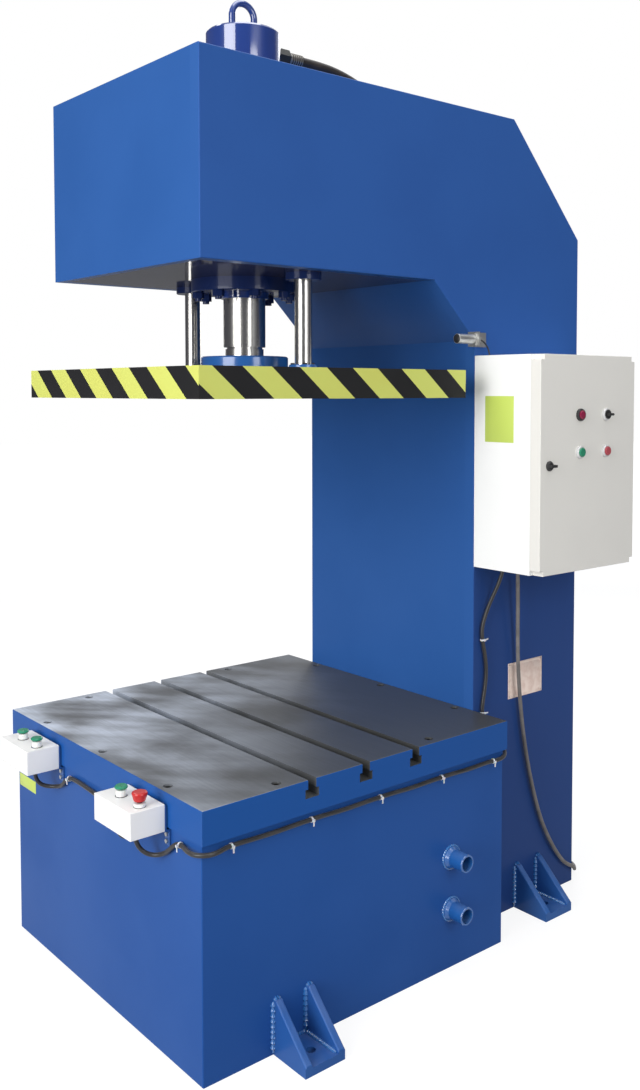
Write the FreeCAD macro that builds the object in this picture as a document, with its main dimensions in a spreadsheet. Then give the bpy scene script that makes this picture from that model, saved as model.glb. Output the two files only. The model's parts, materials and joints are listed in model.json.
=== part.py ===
import FreeCAD, Part

import math
import os

import Sketcher
from FreeCAD import Placement, Rotation, Vector

# Frame: +Z up, the floor at Z = 0, the ram axis through X = Y = 0.
# The operator stands on the -Y side; the electrical cabinet is on the +X side.

DRIVING_SIZES = [
    # C-shaped frame welded from plates
    ("frame_width", 815, "outside width over both side plates"),
    ("side_plate", 40, "thickness of each side plate"),
    ("head_reach", 420, "ram axis to the front of the head"),
    ("throat_reach", 585, "ram axis to the front of the column"),
    ("column_rear", 1094, "ram axis to the back of the column"),
    ("head_low", 2040, "lower edge of the side plates under the head"),
    ("head_high", 2572, "top of the head"),
    ("throat_low", 1863, "where the throat bevel leaves the column"),
    ("throat_inner", 407, "where the throat bevel meets the head"),
    ("rear_low", 2219, "where the rear bevel leaves the column"),
    ("rear_inner", 764, "where the rear bevel meets the top"),
    ("web_plate", 25, "thickness of the front, top and throat plates"),
    ("rear_plate", 20, "thickness of the plates at the back"),
    ("head_floor", 60, "thickness of the plate that carries the cylinder"),
    ("access_width", 480, "width of the opening in the back"),
    ("access_low", 140, "lower edge of the opening in the back"),
    ("access_high", 900, "upper edge of the opening in the back"),
    # Base and worktable
    ("base_width", 1060, "width of the base box"),
    ("base_front", 505, "ram axis to the front of the base box"),
    ("base_high", 612, "height of the base box"),
    ("base_wall", 30, "wall of the base box"),
    ("table_width", 1100, "width of the worktable"),
    ("table_front", 515, "ram axis to the front of the worktable"),
    ("table_high", 700, "height of the working face"),
    ("slot_pitch", 187, "distance between the T-slots"),
    ("slot_shift", 10, "middle T-slot behind the ram axis"),
    ("slot_neck", 28, "width of a T-slot at the working face"),
    ("neck_deep", 25, "depth of the neck"),
    ("slot_head", 46, "width of a T-slot below the neck"),
    ("head_deep", 24, "depth of the wide part"),
    ("screw_pitch", 350, "table screws in the front and back rows"),
    ("screw_size", 16, "diameter of the table screws"),
    ("foot_reach", 135, "anchor foot, wall to outer edge"),
    ("foot_width", 128, "width of an anchor foot"),
    ("foot_plate", 22, "thickness of an anchor foot"),
    ("foot_high", 145, "height of its gussets"),
    ("foot_bolt", 26, "anchor hole"),
    ("front_foot", -227, "middle of the front feet along Y"),
    ("rear_foot", 853, "middle of the rear feet along Y"),
    ("pipe_bore", 42, "bore of the pipe sockets"),
    ("pipe_outer", 53, "outside of the pipe sockets"),
    ("pipe_reach", 66, "pipe sockets out of the base"),
    ("pipe_back", 362, "pipe sockets behind the ram axis"),
    # Cylinder, guides and slide
    ("barrel_outer", 223, "outside of the cylinder"),
    ("barrel_bore", 180, "bore of the cylinder"),
    ("barrel_top", 2779, "top of the cylinder"),
    ("barrel_cap", 40, "thickness of its closed end"),
    ("flange_outer", 320, "cylinder flange"),
    ("flange_low", 2002, "lower face of the cylinder flange"),
    ("collar_outer", 146, "collar of the end cover round the ram"),
    ("collar_low", 1985, "lower face of that collar"),
    ("ram_size", 127, "ram"),
    ("ram_neck", 116, "ram below its groove"),
    ("groove_low", 1834, "lower edge of the groove"),
    ("groove_high", 1840, "upper edge of the groove"),
    ("piston_low", 2460, "lower face of the piston head"),
    ("piston_high", 2580, "upper face of the piston head"),
    ("rod_size", 50, "guide rods"),
    ("rod_pitch", 580, "distance between the guide rods"),
    ("rod_top", 2445, "top of the guide rods"),
    ("slide_width", 955, "slide with its warning band"),
    ("slide_depth", 940, "slide with its warning band, along Y"),
    ("slide_low", 1687, "pressing face of the slide"),
    ("slide_high", 1770, "top of the slide"),
    ("band_skin", 1, "thickness of the warning band"),
    ("stripe_lean", 99, "sideways run of a stripe over the slide"),
    ("stripe_start", -432, "first whole stripe on each face"),
    ("front_pitch", 188.5, "stripe spacing on the front and back"),
    ("side_pitch", 182.5, "stripe spacing on the sides"),
    # Cabinet on the column
    ("cabinet_low", 1157, "underside of the cabinet"),
    ("cabinet_high", 1817, "top of the cabinet"),
    ("cabinet_back", 1050, "rear side of the cabinet"),
    ("cabinet_lip", 632, "front lip of the cabinet box along X"),
    ("door_face", 670, "face of the door along X"),
    ("sheet", 2, "sheet metal of the cabinet and control boxes"),
    ("lip_width", 20, "width of the lip round the cabinet mouth"),
    ("door_notch", 16, "square notches in the corners of the door"),
    ("knob_low", 1521, "lower row of devices on the door"),
    ("knob_high", 1635, "upper row of devices on the door"),
    ("knob_front", 771, "front column of devices along Y"),
    ("knob_rear", 899, "rear column of devices along Y"),
    ("lock_back", 626, "door lock along Y"),
    ("lock_high", 1485, "height of the door lock"),
    ("hinge_back", 1057, "hinge pins along Y"),
    # Two control boxes on the front of the table
    ("box_width", 187, "width of a control box"),
    ("box_depth", 98, "depth of a control box"),
    ("box_low", 603, "underside of the control boxes"),
    ("box_high", 673, "top of the control boxes"),
    ("box_rear", -523, "rear side of the control boxes"),
    ("box_offset", 298, "ram axis to the middle of each box"),
    ("button_shift", 18, "pair of buttons off the middle of a box"),
    ("button_half", 47, "half the distance between two buttons"),
    ("button_back", -578, "row of buttons along Y"),
]

DOC = FreeCAD.newDocument("hydraulic_press")
SHEET = DOC.addObject("Spreadsheet::Sheet", "sizes")
NODES = {}


class Size:
    """A length with its number and the formula over the sheet that gives it."""

    def __init__(self, value, formula):
        self.value = value
        self.formula = formula

    def join(self, other, sign, value):
        return Size(value, f"({self.formula} {sign} {other.formula})")

    def __add__(self, other):
        other = as_size(other)
        return self.join(other, "+", self.value + other.value)

    def __sub__(self, other):
        other = as_size(other)
        return self.join(other, "-", self.value - other.value)

    def __mul__(self, other):
        other = as_size(other)
        return self.join(other, "*", self.value * other.value)

    def __truediv__(self, other):
        other = as_size(other)
        return self.join(other, "/", self.value / other.value)

    def __neg__(self):
        return Size(-self.value, f"(-1 * {self.formula})")

    def __radd__(self, other):
        return as_size(other) + self

    def __rsub__(self, other):
        return as_size(other) - self

    def __rmul__(self, other):
        return as_size(other) * self


def as_size(number):
    """Turn a plain number into a Size."""
    if isinstance(number, Size):
        return number
    return Size(float(number), f"({float(number)})")


def root(size):
    """Square root of a Size."""
    return Size(math.sqrt(size.value), f"sqrt({size.formula})")


def size(alias):
    """Read one driving size from the sheet."""
    return Size(float(SHEET.get(alias)), f"{SHEET.Name}.{alias}")


def fill_sheet():
    """Write the driving sizes into the sheet, one row each."""
    for row, (alias, number, note) in enumerate(DRIVING_SIZES, start=1):
        SHEET.set(f"A{row}", alias)
        SHEET.set(f"B{row}", str(number))
        SHEET.setAlias(f"B{row}", alias)
        SHEET.set(f"C{row}", note)
    DOC.recompute()


def bind(thing, name, length):
    """Hold a property of an object to a Size."""
    thing.setExpression(name, as_size(length).formula)


def node(label, thing):
    """Register an object as one sub-part of the press."""
    thing.Label = label
    NODES[label] = thing
    return thing


# ---------------------------------------------------------------- sketches


def new_body(name):
    """Start a body."""
    return DOC.addObject("PartDesign::Body", name)


def sketch_on(body, role, height=0.0):
    """Attach a sketch to one of the body's own planes, lifted along its normal."""
    sketch = body.newObject("Sketcher::SketchObject", f"{body.Name}_sketch")
    planes = [item for item in body.Origin.OriginFeatures if item.Role == role]
    sketch.AttachmentSupport = [(planes[0], "")]
    sketch.MapMode = "FlatFace"
    bind(sketch, "AttachmentOffset.Base.z", height)
    return sketch


def hold(sketch, kind, geometry, point, length):
    """Hold one coordinate of a sketch point from the sketch's origin."""
    if abs(length.value) < 1e-9:
        axis = -2 if kind == "DistanceX" else -1
        sketch.addConstraint(Sketcher.Constraint("PointOnObject", geometry, point, axis))
        return
    index = sketch.addConstraint(
        Sketcher.Constraint(kind, -1, 1, geometry, point, length.value)
    )
    bind(sketch, f"Constraints[{index}]", length)


def outline(sketch, corners):
    """Draw a closed polygon through (x, y) corners."""
    corners = [(as_size(x), as_size(y)) for x, y in corners]
    points = [Vector(x.value, y.value, 0) for x, y in corners]
    first = sketch.GeometryCount
    count = len(points)
    for index in range(count):
        sketch.addGeometry(Part.LineSegment(points[index], points[(index + 1) % count]))
    for index in range(count):
        following = first + (index + 1) % count
        sketch.addConstraint(
            Sketcher.Constraint("Coincident", first + index, 2, following, 1)
        )
    for index, (x, y) in enumerate(corners):
        hold(sketch, "DistanceX", first + index, 1, x)
        hold(sketch, "DistanceY", first + index, 1, y)


def rectangle(sketch, left, right, low, high):
    """Draw a rectangle."""
    outline(sketch, [(left, low), (right, low), (right, high), (left, high)])


def circle(sketch, x, y, radius):
    """Draw a circle."""
    x, y, radius = as_size(x), as_size(y), as_size(radius)
    centre = Vector(x.value, y.value, 0)
    index = sketch.addGeometry(Part.Circle(centre, Vector(0, 0, 1), radius.value))
    hold(sketch, "DistanceX", index, 3, x)
    hold(sketch, "DistanceY", index, 3, y)
    held = sketch.addConstraint(Sketcher.Constraint("Radius", index, radius.value))
    bind(sketch, f"Constraints[{held}]", radius)


# ---------------------------------------------------------------- features


def pad(body, sketch, length, backwards=False):
    """Raise a sketch into a solid."""
    feature = body.newObject("PartDesign::Pad", f"{body.Name}_pad")
    feature.Profile = sketch
    feature.Reversed = backwards
    bind(feature, "Length", length)
    sketch.Visibility = False
    DOC.recompute()
    return feature


def pocket(body, sketch, length=None, backwards=False):
    """Cut a sketch out of the body, through all of it where no length is given."""
    before = body.Shape.Volume
    feature = body.newObject("PartDesign::Pocket", f"{body.Name}_pocket")
    feature.Profile = sketch
    feature.Reversed = backwards
    if length is None:
        feature.Type = "ThroughAll"
    else:
        bind(feature, "Length", length)
    sketch.Visibility = False
    DOC.recompute()
    if body.Shape.Volume > before - 1e-3:
        raise RuntimeError(f"{feature.Name} cuts nothing")
    return feature


def revolve(body, corners):
    """Turn a (radius, height) outline about the body's Z axis."""
    sketch = sketch_on(body, "XZ_Plane")
    outline(sketch, corners)
    feature = body.newObject("PartDesign::Revolution", f"{body.Name}_turned")
    feature.Profile = sketch
    feature.ReferenceAxis = (sketch, ["V_Axis"])
    feature.Angle = 360
    sketch.Visibility = False
    DOC.recompute()
    return feature


def turned(name, corners, x=0.0, y=0.0, z=0.0, rotation=None):
    """Make a turned piece and stand it at a place."""
    body = new_body(name)
    revolve(body, corners)
    move(body, x, y, z, rotation)
    return body


def drill(body, role, face, spots, radius, length=None, backwards=False):
    """Drill round holes at (x, y) places of a sketch on one face."""
    holes = sketch_on(body, role, face)
    for x, y in spots:
        circle(holes, x, y, radius)
    pocket(body, holes, length, backwards)


def edge_names(shape, wanted, heading):
    """Names of the straight edges whose end points pass a test, of one heading if given."""
    names = []
    for index, edge in enumerate(shape.Edges, start=1):
        if edge.Curve.TypeId != "Part::GeomLine":
            continue
        if heading is not None and abs(edge.Curve.Direction.dot(heading)) < 0.999:
            continue
        if all(wanted(vertex.Point) for vertex in edge.Vertexes):
            names.append(f"Edge{index}")
    return names


def soften(body, kind, wanted, amount, heading=None):
    """Round or bevel the straight edges that pass a test."""
    base = body.Tip
    names = edge_names(base.Shape, wanted, heading)
    feature = body.newObject(f"PartDesign::{kind}", f"{body.Name}_{kind.lower()}")
    feature.Base = (base, names)
    bind(feature, "Radius" if kind == "Fillet" else "Size", amount)
    DOC.recompute()
    return feature


def near(value, length):
    """Whether a coordinate lies on a Size."""
    return abs(value - as_size(length).value) < 1e-4


def move(thing, x=0.0, y=0.0, z=0.0, rotation=None):
    """Place an object, its position held to Sizes."""
    if rotation is not None:
        thing.Placement = Placement(Vector(), rotation)
    for axis, length in (("x", x), ("y", y), ("z", z)):
        bind(thing, f"Placement.Base.{axis}", length)


# ---------------------------------------------------------------- primitives


def block(name, left, right, front, back, low, high):
    """Make a plain rectangular piece from its six sides."""
    thing = DOC.addObject("Part::Box", name)
    bind(thing, "Length", as_size(right) - left)
    bind(thing, "Width", as_size(back) - front)
    bind(thing, "Height", as_size(high) - low)
    move(thing, left, front, low)
    return thing


def rod(name, radius, length, x=0.0, y=0.0, z=0.0, rotation=None):
    """Make a round bar along its own Z."""
    thing = DOC.addObject("Part::Cylinder", name)
    bind(thing, "Radius", radius)
    bind(thing, "Height", length)
    move(thing, x, y, z, rotation)
    return thing


def hexagon(name, across_flats, length, x=0.0, y=0.0, z=0.0, rotation=None):
    """Make a hexagonal bar along its own Z."""
    thing = DOC.addObject("Part::Prism", name)
    thing.Polygon = 6
    bind(thing, "Circumradius", as_size(across_flats) / math.sqrt(3))
    bind(thing, "Height", length)
    move(thing, x, y, z, rotation)
    return thing


def fused(name, pieces):
    """Weld pieces into one solid."""
    thing = DOC.addObject("Part::MultiFuse", name)
    thing.Shapes = pieces
    thing.Refine = True
    DOC.recompute()
    return thing


def bored(name, base, tool):
    """Cut one piece with another."""
    thing = DOC.addObject("Part::Cut", name)
    thing.Base = base
    thing.Tool = tool
    DOC.recompute()
    return thing


def grouped(name, pieces):
    """Keep several separate pieces together in one node."""
    thing = DOC.addObject("Part::Compound", name)
    thing.Links = pieces
    DOC.recompute()
    return thing


def copies(name, master, spots, rotations=None):
    """Set one copy of a master piece at each (x, y, z) spot."""
    links = []
    for index, (x, y, z) in enumerate(spots):
        link = DOC.addObject("App::Link", f"{name}_copy")
        link.LinkedObject = master
        turn = rotations[index] if rotations else None
        move(link, x, y, z, turn)
        links.append(link)
    return links


ALONG_X = Rotation(Vector(0, 1, 0), 90)
ALONG_Y = Rotation(Vector(1, 0, 0), -90)
ALONG_MINUS_Y = Rotation(Vector(1, 0, 0), 90)
DOWN = Rotation(Vector(1, 0, 0), 180)
HALF_TURN = Rotation(Vector(0, 0, 1), 180)


# ---------------------------------------------------------------- cords


def arc_path(points):
    """Straight runs joined by tangent arcs, each as large as its two runs allow."""
    edges = []
    radii = []
    start = points[0]
    for before, corner, after in zip(points, points[1:], points[2:]):
        arriving = corner - before
        leaving = after - corner
        half_turn = arriving.getAngle(leaving) / 2
        tangent = 0.45 * min(arriving.Length, leaving.Length)
        into = corner - arriving.normalize() * tangent
        out_of = corner + leaving.normalize() * tangent
        centre_way = (into - corner).normalize() + (out_of - corner).normalize()
        radius = tangent / math.tan(half_turn)
        centre_way.normalize()
        middle = corner + centre_way * (radius / math.cos(half_turn) - radius)
        edges.append(Part.LineSegment(start, into).toShape())
        edges.append(Part.Arc(into, middle, out_of).toShape())
        radii.append(radius)
        start = out_of
    edges.append(Part.LineSegment(start, points[-1]).toShape())
    return Part.Wire(edges), radii


def cord_shape(label, points, diameter):
    """Sweep a round section along the path and compare its volume with its length."""
    points = [Vector(*point) for point in points]
    path, radii = arc_path(points)
    section = Part.Circle(points[0], points[1] - points[0], diameter / 2).toShape()
    tube = path.makePipeShell([Part.Wire([section])], True, False)
    expected = math.pi * (diameter / 2) ** 2 * path.Length
    print(
        f"{label}: length {path.Length:.0f} mm, smallest radius {min(radii):.0f} mm, "
        f"volume ratio {tube.Volume / expected:.4f}"
    )
    return tube


# ---------------------------------------------------------------- frame


def inner_half():
    """Half the clear width between the side plates."""
    return size("frame_width") / 2 - size("side_plate")


def build_side_plates():
    """The two flame-cut side plates that give the press its C shape."""
    outside = size("frame_width") / 2
    throat = size("throat_reach")
    back = size("column_rear")
    profile = [
        (throat, 0),
        (back, 0),
        (back, size("rear_low")),
        (size("rear_inner"), size("head_high")),
        (-size("head_reach"), size("head_high")),
        (-size("head_reach"), size("head_low")),
        (size("throat_inner"), size("head_low")),
        (throat, size("throat_low")),
    ]
    for label, start, face in (
        ("right_side_plate", inner_half(), outside),
        ("left_side_plate", -outside, -outside),
    ):
        body = new_body(label)
        sketch = sketch_on(body, "YZ_Plane", start)
        outline(sketch, profile)
        pad(body, sketch, size("side_plate"))
        soften(body, "Chamfer", lambda point: near(point.x, face), 2)
        node(label, body)
    drill(
        NODES["right_side_plate"],
        "YZ_Plane",
        outside,
        [(BRACKET_BOLT_Y, SENSOR_HIGH)],
        BRACKET_BOLT_RADIUS + THREAD_GAP,
        THREAD_DEEP,
    )


def cross_plate(label, profile):
    """A plate between the side plates, drawn as its (y, z) section."""
    body = new_body(label)
    sketch = sketch_on(body, "YZ_Plane", -inner_half())
    outline(sketch, profile)
    pad(body, sketch, inner_half() * 2)
    return node(label, body)


def bevel_normal(run, rise):
    """Unit normal of a bevel, as (y, z), from its run and rise."""
    slope = root(run * run + rise * rise)
    return rise / slope, run / slope


def build_cross_plates():
    """Front, top, floor, throat, column and rear plates between the side plates."""
    throat = size("throat_reach")
    back = size("column_rear")
    web = size("web_plate")
    rear = size("rear_plate")
    top = size("head_high")
    front = -size("head_reach")
    floor_low = size("head_low")
    floor_rear = size("throat_inner")

    run = throat - floor_rear
    rise = floor_low - size("throat_low")
    throat_y, throat_z = bevel_normal(run, rise)
    mitre_high = size("throat_low") + web * throat_z - web * (1 - throat_y) * rise / run

    back_run = back - size("rear_inner")
    back_rise = top - size("rear_low")
    rear_y, rear_z = bevel_normal(back_run, back_rise)

    cross_plate(
        "column_front_plate",
        [
            (throat, 0),
            (throat, size("throat_low")),
            (throat + web, mitre_high),
            (throat + web, 0),
        ],
    )
    cross_plate(
        "throat_plate",
        [
            (throat, size("throat_low")),
            (floor_rear, floor_low),
            (floor_rear + web / throat_y, floor_low),
            (throat + web, mitre_high),
        ],
    )
    cross_plate(
        "head_front_plate",
        [
            (front, floor_low),
            (front + web, floor_low),
            (front + web, top),
            (front, top),
        ],
    )
    rear_corner = size("rear_inner") - rear * rear_y
    cross_plate(
        "rear_bevel_plate",
        [
            (size("rear_inner"), top),
            (rear_corner, top - rear * rear_z),
            (back - rear * rear_y, size("rear_low") - rear * rear_z),
            (back, size("rear_low")),
        ],
    )

    body = new_body("head_top_plate")
    sketch = sketch_on(body, "YZ_Plane", -inner_half())
    outline(
        sketch,
        [
            (front + web, top - web),
            (rear_corner, top - web),
            (rear_corner, top - rear * rear_z),
            (size("rear_inner"), top),
            (front + web, top),
        ],
    )
    pad(body, sketch, inner_half() * 2)
    bore = sketch_on(body, "XY_Plane", top)
    circle(bore, 0, 0, size("barrel_outer") / 2 + 1.5)
    pocket(body, bore)
    node("head_top_plate", body)

    body = new_body("head_floor_plate")
    sketch = sketch_on(body, "XY_Plane", floor_low)
    rectangle(sketch, -inner_half(), inner_half(), front + web, floor_rear + web / throat_y)
    pad(body, sketch, size("head_floor"))
    bores = sketch_on(body, "XY_Plane", floor_low + size("head_floor"))
    circle(bores, 0, 0, size("barrel_outer") / 2 + 0.2)
    for side in (-1, 1):
        circle(bores, size("rod_pitch") * (side / 2), 0, BUSH_BODY_RADIUS + 0.1)
    pocket(body, bores)
    stud = STUD_RADIUS + THREAD_GAP
    drill(body, "XY_Plane", floor_low, stud_spots(), stud, STUD_DEEP + 5, backwards=True)
    bolt = BUSH_BOLT_RADIUS + THREAD_GAP
    drill(body, "XY_Plane", floor_low, bush_bolt_spots(), bolt, THREAD_DEEP, backwards=True)
    node("head_floor_plate", body)

    body = new_body("column_back_plate")
    sketch = sketch_on(body, "YZ_Plane", -inner_half())
    outline(
        sketch,
        [
            (back - rear, 0),
            (back, 0),
            (back, size("rear_low")),
            (back - rear * rear_y, size("rear_low") - rear * rear_z),
            (back - rear, size("rear_low") - rear * rear_z),
        ],
    )
    pad(body, sketch, inner_half() * 2)
    opening = sketch_on(body, "XZ_Plane", -back)
    rectangle(
        opening,
        -size("access_width") / 2,
        size("access_width") / 2,
        size("access_low"),
        size("access_high"),
    )
    pocket(body, opening, rear, backwards=True)
    thread = COVER_BOLT_RADIUS + THREAD_GAP
    drill(body, "XZ_Plane", -back, cover_bolt_spots(), thread, rear, backwards=True)
    node("column_back_plate", body)


COVER_LAP = 30
COVER_PLATE = 4
COVER_BOLT_ROWS = 4
COVER_BOLT_RADIUS = 5
THREAD_GAP = 0.05
BOLT_ROOM = 0.4


def cover_bolt_spots():
    """(x, z) of the bolts that hold the rear cover."""
    inset = as_size(COVER_LAP / 2)
    across = size("access_width") / 2 + inset
    low = size("access_low") - inset
    high = size("access_high") + inset
    spots = []
    for side in (-1, 1):
        for row in range(COVER_BOLT_ROWS):
            share = row / (COVER_BOLT_ROWS - 1)
            spots.append((across * side, low + (high - low) * share))
    return spots


def build_rear_cover():
    """Bolted sheet over the opening in the back."""
    back = size("column_rear")
    half = size("access_width") / 2 + COVER_LAP
    low = size("access_low") - COVER_LAP
    high = size("access_high") + COVER_LAP
    body = new_body("rear_cover")
    sketch = sketch_on(body, "XZ_Plane", -back)
    rectangle(sketch, -half, half, low, high)
    pad(body, sketch, COVER_PLATE, backwards=True)
    soften(
        body,
        "Fillet",
        lambda p: abs(abs(p.x) - half.value) < 1e-4,
        12,
        heading=Vector(0, 1, 0),
    )
    room = COVER_BOLT_RADIUS + BOLT_ROOM
    drill(body, "XZ_Plane", -back, cover_bolt_spots(), room, COVER_PLATE)
    node("rear_cover", body)


# ---------------------------------------------------------------- base

SIDE_SCREWS_X = 515
SIDE_SCREWS_Y = (-268, 282)
FRONT_SCREWS_Y = -489
BACK_SCREWS_Y = 560
COUNTERBORE_DEEP = 20
BASE_FLOOR = 16
THREAD_DEEP = 30


def table_screw_spots():
    """(x, y) of the screws that hold the worktable on the base."""
    pitch = size("screw_pitch")
    spots = [(pitch * column, as_size(row)) for row in (FRONT_SCREWS_Y, BACK_SCREWS_Y)
             for column in (-1, 0, 1)]
    spots += [(as_size(side * SIDE_SCREWS_X), as_size(row)) for side in (-1, 1)
              for row in SIDE_SCREWS_Y]
    return spots


def build_base_box():
    """Welded box under the worktable, with tapped holes and two pipe holes."""
    half = size("base_width") / 2
    front = -size("base_front")
    back = size("throat_reach")
    wall = size("base_wall")
    body = new_body("base_box")
    sketch = sketch_on(body, "XY_Plane")
    rectangle(sketch, -half, half, front, back)
    pad(body, sketch, size("base_high"))
    inside = sketch_on(body, "XY_Plane", size("base_high"))
    rectangle(inside, -half + wall, half - wall, front + wall, back - wall)
    pocket(body, inside, size("base_high") - BASE_FLOOR)
    thread = size("screw_size") / 2 + THREAD_GAP
    drill(body, "XY_Plane", size("base_high"), table_screw_spots(), thread, THREAD_DEEP + 5)
    pipes = [(size("pipe_back"), height) for height in PIPE_HEIGHTS]
    drill(body, "YZ_Plane", half, pipes, size("pipe_bore") / 2, wall)
    thread = STRAP_BOLT_RADIUS + THREAD_GAP
    drill(body, "XZ_Plane", -front, strap_bolt_spots(), thread, THREAD_DEEP / 2)
    soften(
        body,
        "Chamfer",
        lambda p: abs(abs(p.x) - half.value) < 1e-4 and near(p.y, front),
        2,
    )
    node("base_box", body)


def build_worktable():
    """Thick worktable with three T-slots and counterbored screw holes."""
    half = size("table_width") / 2
    front = -size("table_front")
    back = size("throat_reach")
    top = size("table_high")
    neck = top - size("neck_deep")
    bottom = neck - size("head_deep")
    body = new_body("worktable")
    sketch = sketch_on(body, "XY_Plane", size("base_high"))
    rectangle(sketch, -half, half, front, back)
    pad(body, sketch, top - size("base_high"))
    soften(
        body,
        "Chamfer",
        lambda p: near(p.z, top),
        2,
    )
    slots = sketch_on(body, "YZ_Plane", half)
    for step in (-1, 0, 1):
        centre = size("slot_shift") + size("slot_pitch") * step
        narrow = size("slot_neck") / 2
        wide = size("slot_head") / 2
        outline(
            slots,
            [
                (centre - narrow, top),
                (centre - narrow, neck),
                (centre - wide, neck),
                (centre - wide, bottom),
                (centre + wide, bottom),
                (centre + wide, neck),
                (centre + narrow, neck),
                (centre + narrow, top),
            ],
        )
    pocket(body, slots)
    spots = table_screw_spots()
    drill(body, "XY_Plane", top, spots, size("screw_size") / 2 + BOLT_ROOM)
    drill(body, "XY_Plane", top, spots, SCREW_HEAD_RADIUS + 1, COUNTERBORE_DEEP)
    node("worktable", body)


SCREW_HEAD_RADIUS = 12


def socket_screw(name, thread_radius, thread_length, head_radius, head_height, key):
    """Socket-head cap screw with its head's underside at Z = 0."""
    body = new_body(name)
    revolve(
        body,
        [
            (0, -thread_length),
            (thread_radius, -thread_length),
            (thread_radius, 0),
            (head_radius, 0),
            (head_radius, head_height - 1),
            (head_radius - 1, head_height),
            (0, head_height),
        ],
    )
    hexagonal = sketch_on(body, "XY_Plane", head_height)
    corner = key / math.sqrt(3)
    outline(
        hexagonal,
        [
            (corner * math.cos(math.radians(60 * step)), corner * math.sin(math.radians(60 * step)))
            for step in range(6)
        ],
    )
    pocket(body, hexagonal, head_height / 2)
    return body


def hex_bolt(name, thread_radius, thread_length, across_flats, head_height):
    """Hexagon-head bolt with its head's underside at Z = 0."""
    head = hexagon(f"{name}_head", across_flats, head_height)
    shank = rod(f"{name}_shank", thread_radius, thread_length, z=-thread_length)
    return fused(name, [head, shank])


def build_table_screws():
    """Screws that hold the worktable down."""
    radius = size("screw_size").value / 2
    seat = size("table_high") - COUNTERBORE_DEEP
    length = (seat - size("base_high")).value + THREAD_DEEP
    master = socket_screw("table_screw", radius, length, SCREW_HEAD_RADIUS, 16, 14)
    spots = [(x, y, seat) for x, y in table_screw_spots()]
    node("table_screws", grouped("table_screws", copies("table_screw", master, spots)))


PIPE_HEIGHTS = (177, 333)


def build_pipe_sockets():
    """Two pipe sockets welded to the right side of the base."""
    bore = size("pipe_bore") / 2
    outer = size("pipe_outer") / 2
    reach = size("pipe_reach")
    collar = 6
    master = turned(
        "pipe_socket",
        [
            (bore, 0),
            (outer + collar, 0),
            (outer + collar, 6),
            (outer, 16),
            (outer, reach - 2),
            (outer - 1, reach),
            (bore, reach),
        ],
    )
    wall = size("base_width") / 2
    spots = [(wall, size("pipe_back"), height) for height in PIPE_HEIGHTS]
    sockets = copies("pipe_socket", master, spots, [ALONG_X] * 2)
    node("pipe_sockets", grouped("pipe_sockets", sockets))


FOOT_STEP = 8
FOOT_ROUND = 5


def build_anchor_feet():
    """Four welded feet: a drilled plate between two triangular gussets."""
    reach = size("foot_reach")
    half = size("foot_width") / 2
    plate = size("foot_plate")
    gusset = 22
    body = new_body("anchor_foot")
    sketch = sketch_on(body, "XY_Plane")
    rectangle(sketch, 0, reach, -half, half)
    pad(body, sketch, plate)
    for edge in (half, -half + gusset):
        web = sketch_on(body, "XZ_Plane", edge)
        outline(
            web,
            [
                (0, plate - 1),
                (reach, plate - 1),
                (reach, plate + FOOT_STEP),
                (12, size("foot_high")),
                (0, size("foot_high")),
            ],
        )
        pad(body, web, gusset, backwards=True)
    drill(body, "XY_Plane", plate, [(reach * 0.55, 0)], size("foot_bolt") / 2)
    soften(body, "Fillet", lambda p: p.z > plate.value + FOOT_STEP - 0.5, FOOT_ROUND)
    base_side = size("base_width") / 2
    column_side = size("frame_width") / 2
    spots = []
    turns = []
    for side, turn in ((1, Rotation()), (-1, HALF_TURN)):
        spots.append((base_side * side, size("front_foot"), 0))
        spots.append((column_side * side, size("rear_foot"), 0))
        turns += [turn, turn]
    feet = copies("anchor_foot", body, spots, turns)
    node("anchor_feet", grouped("anchor_feet", feet))


# ---------------------------------------------------------------- cylinder

BUSH_BODY_RADIUS = 38
BUSH_FLANGE_RADIUS = 52
BUSH_FLANGE = 20
BUSH_BOLT_CIRCLE = 44.5
BUSH_BOLT_RADIUS = 3
BUSH_SEAT_RADIUS = 5.5
BUSH_SEAT_DEEP = 7
STUD_CIRCLE = 140
STUD_COUNT = 8
STUD_RADIUS = 10
STUD_DEEP = 40
END_COVER_DEEP = 70
PORT_HIGH = 2738
PORT_SEAT = 108
RUNNING_GAP = 0.05


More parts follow.
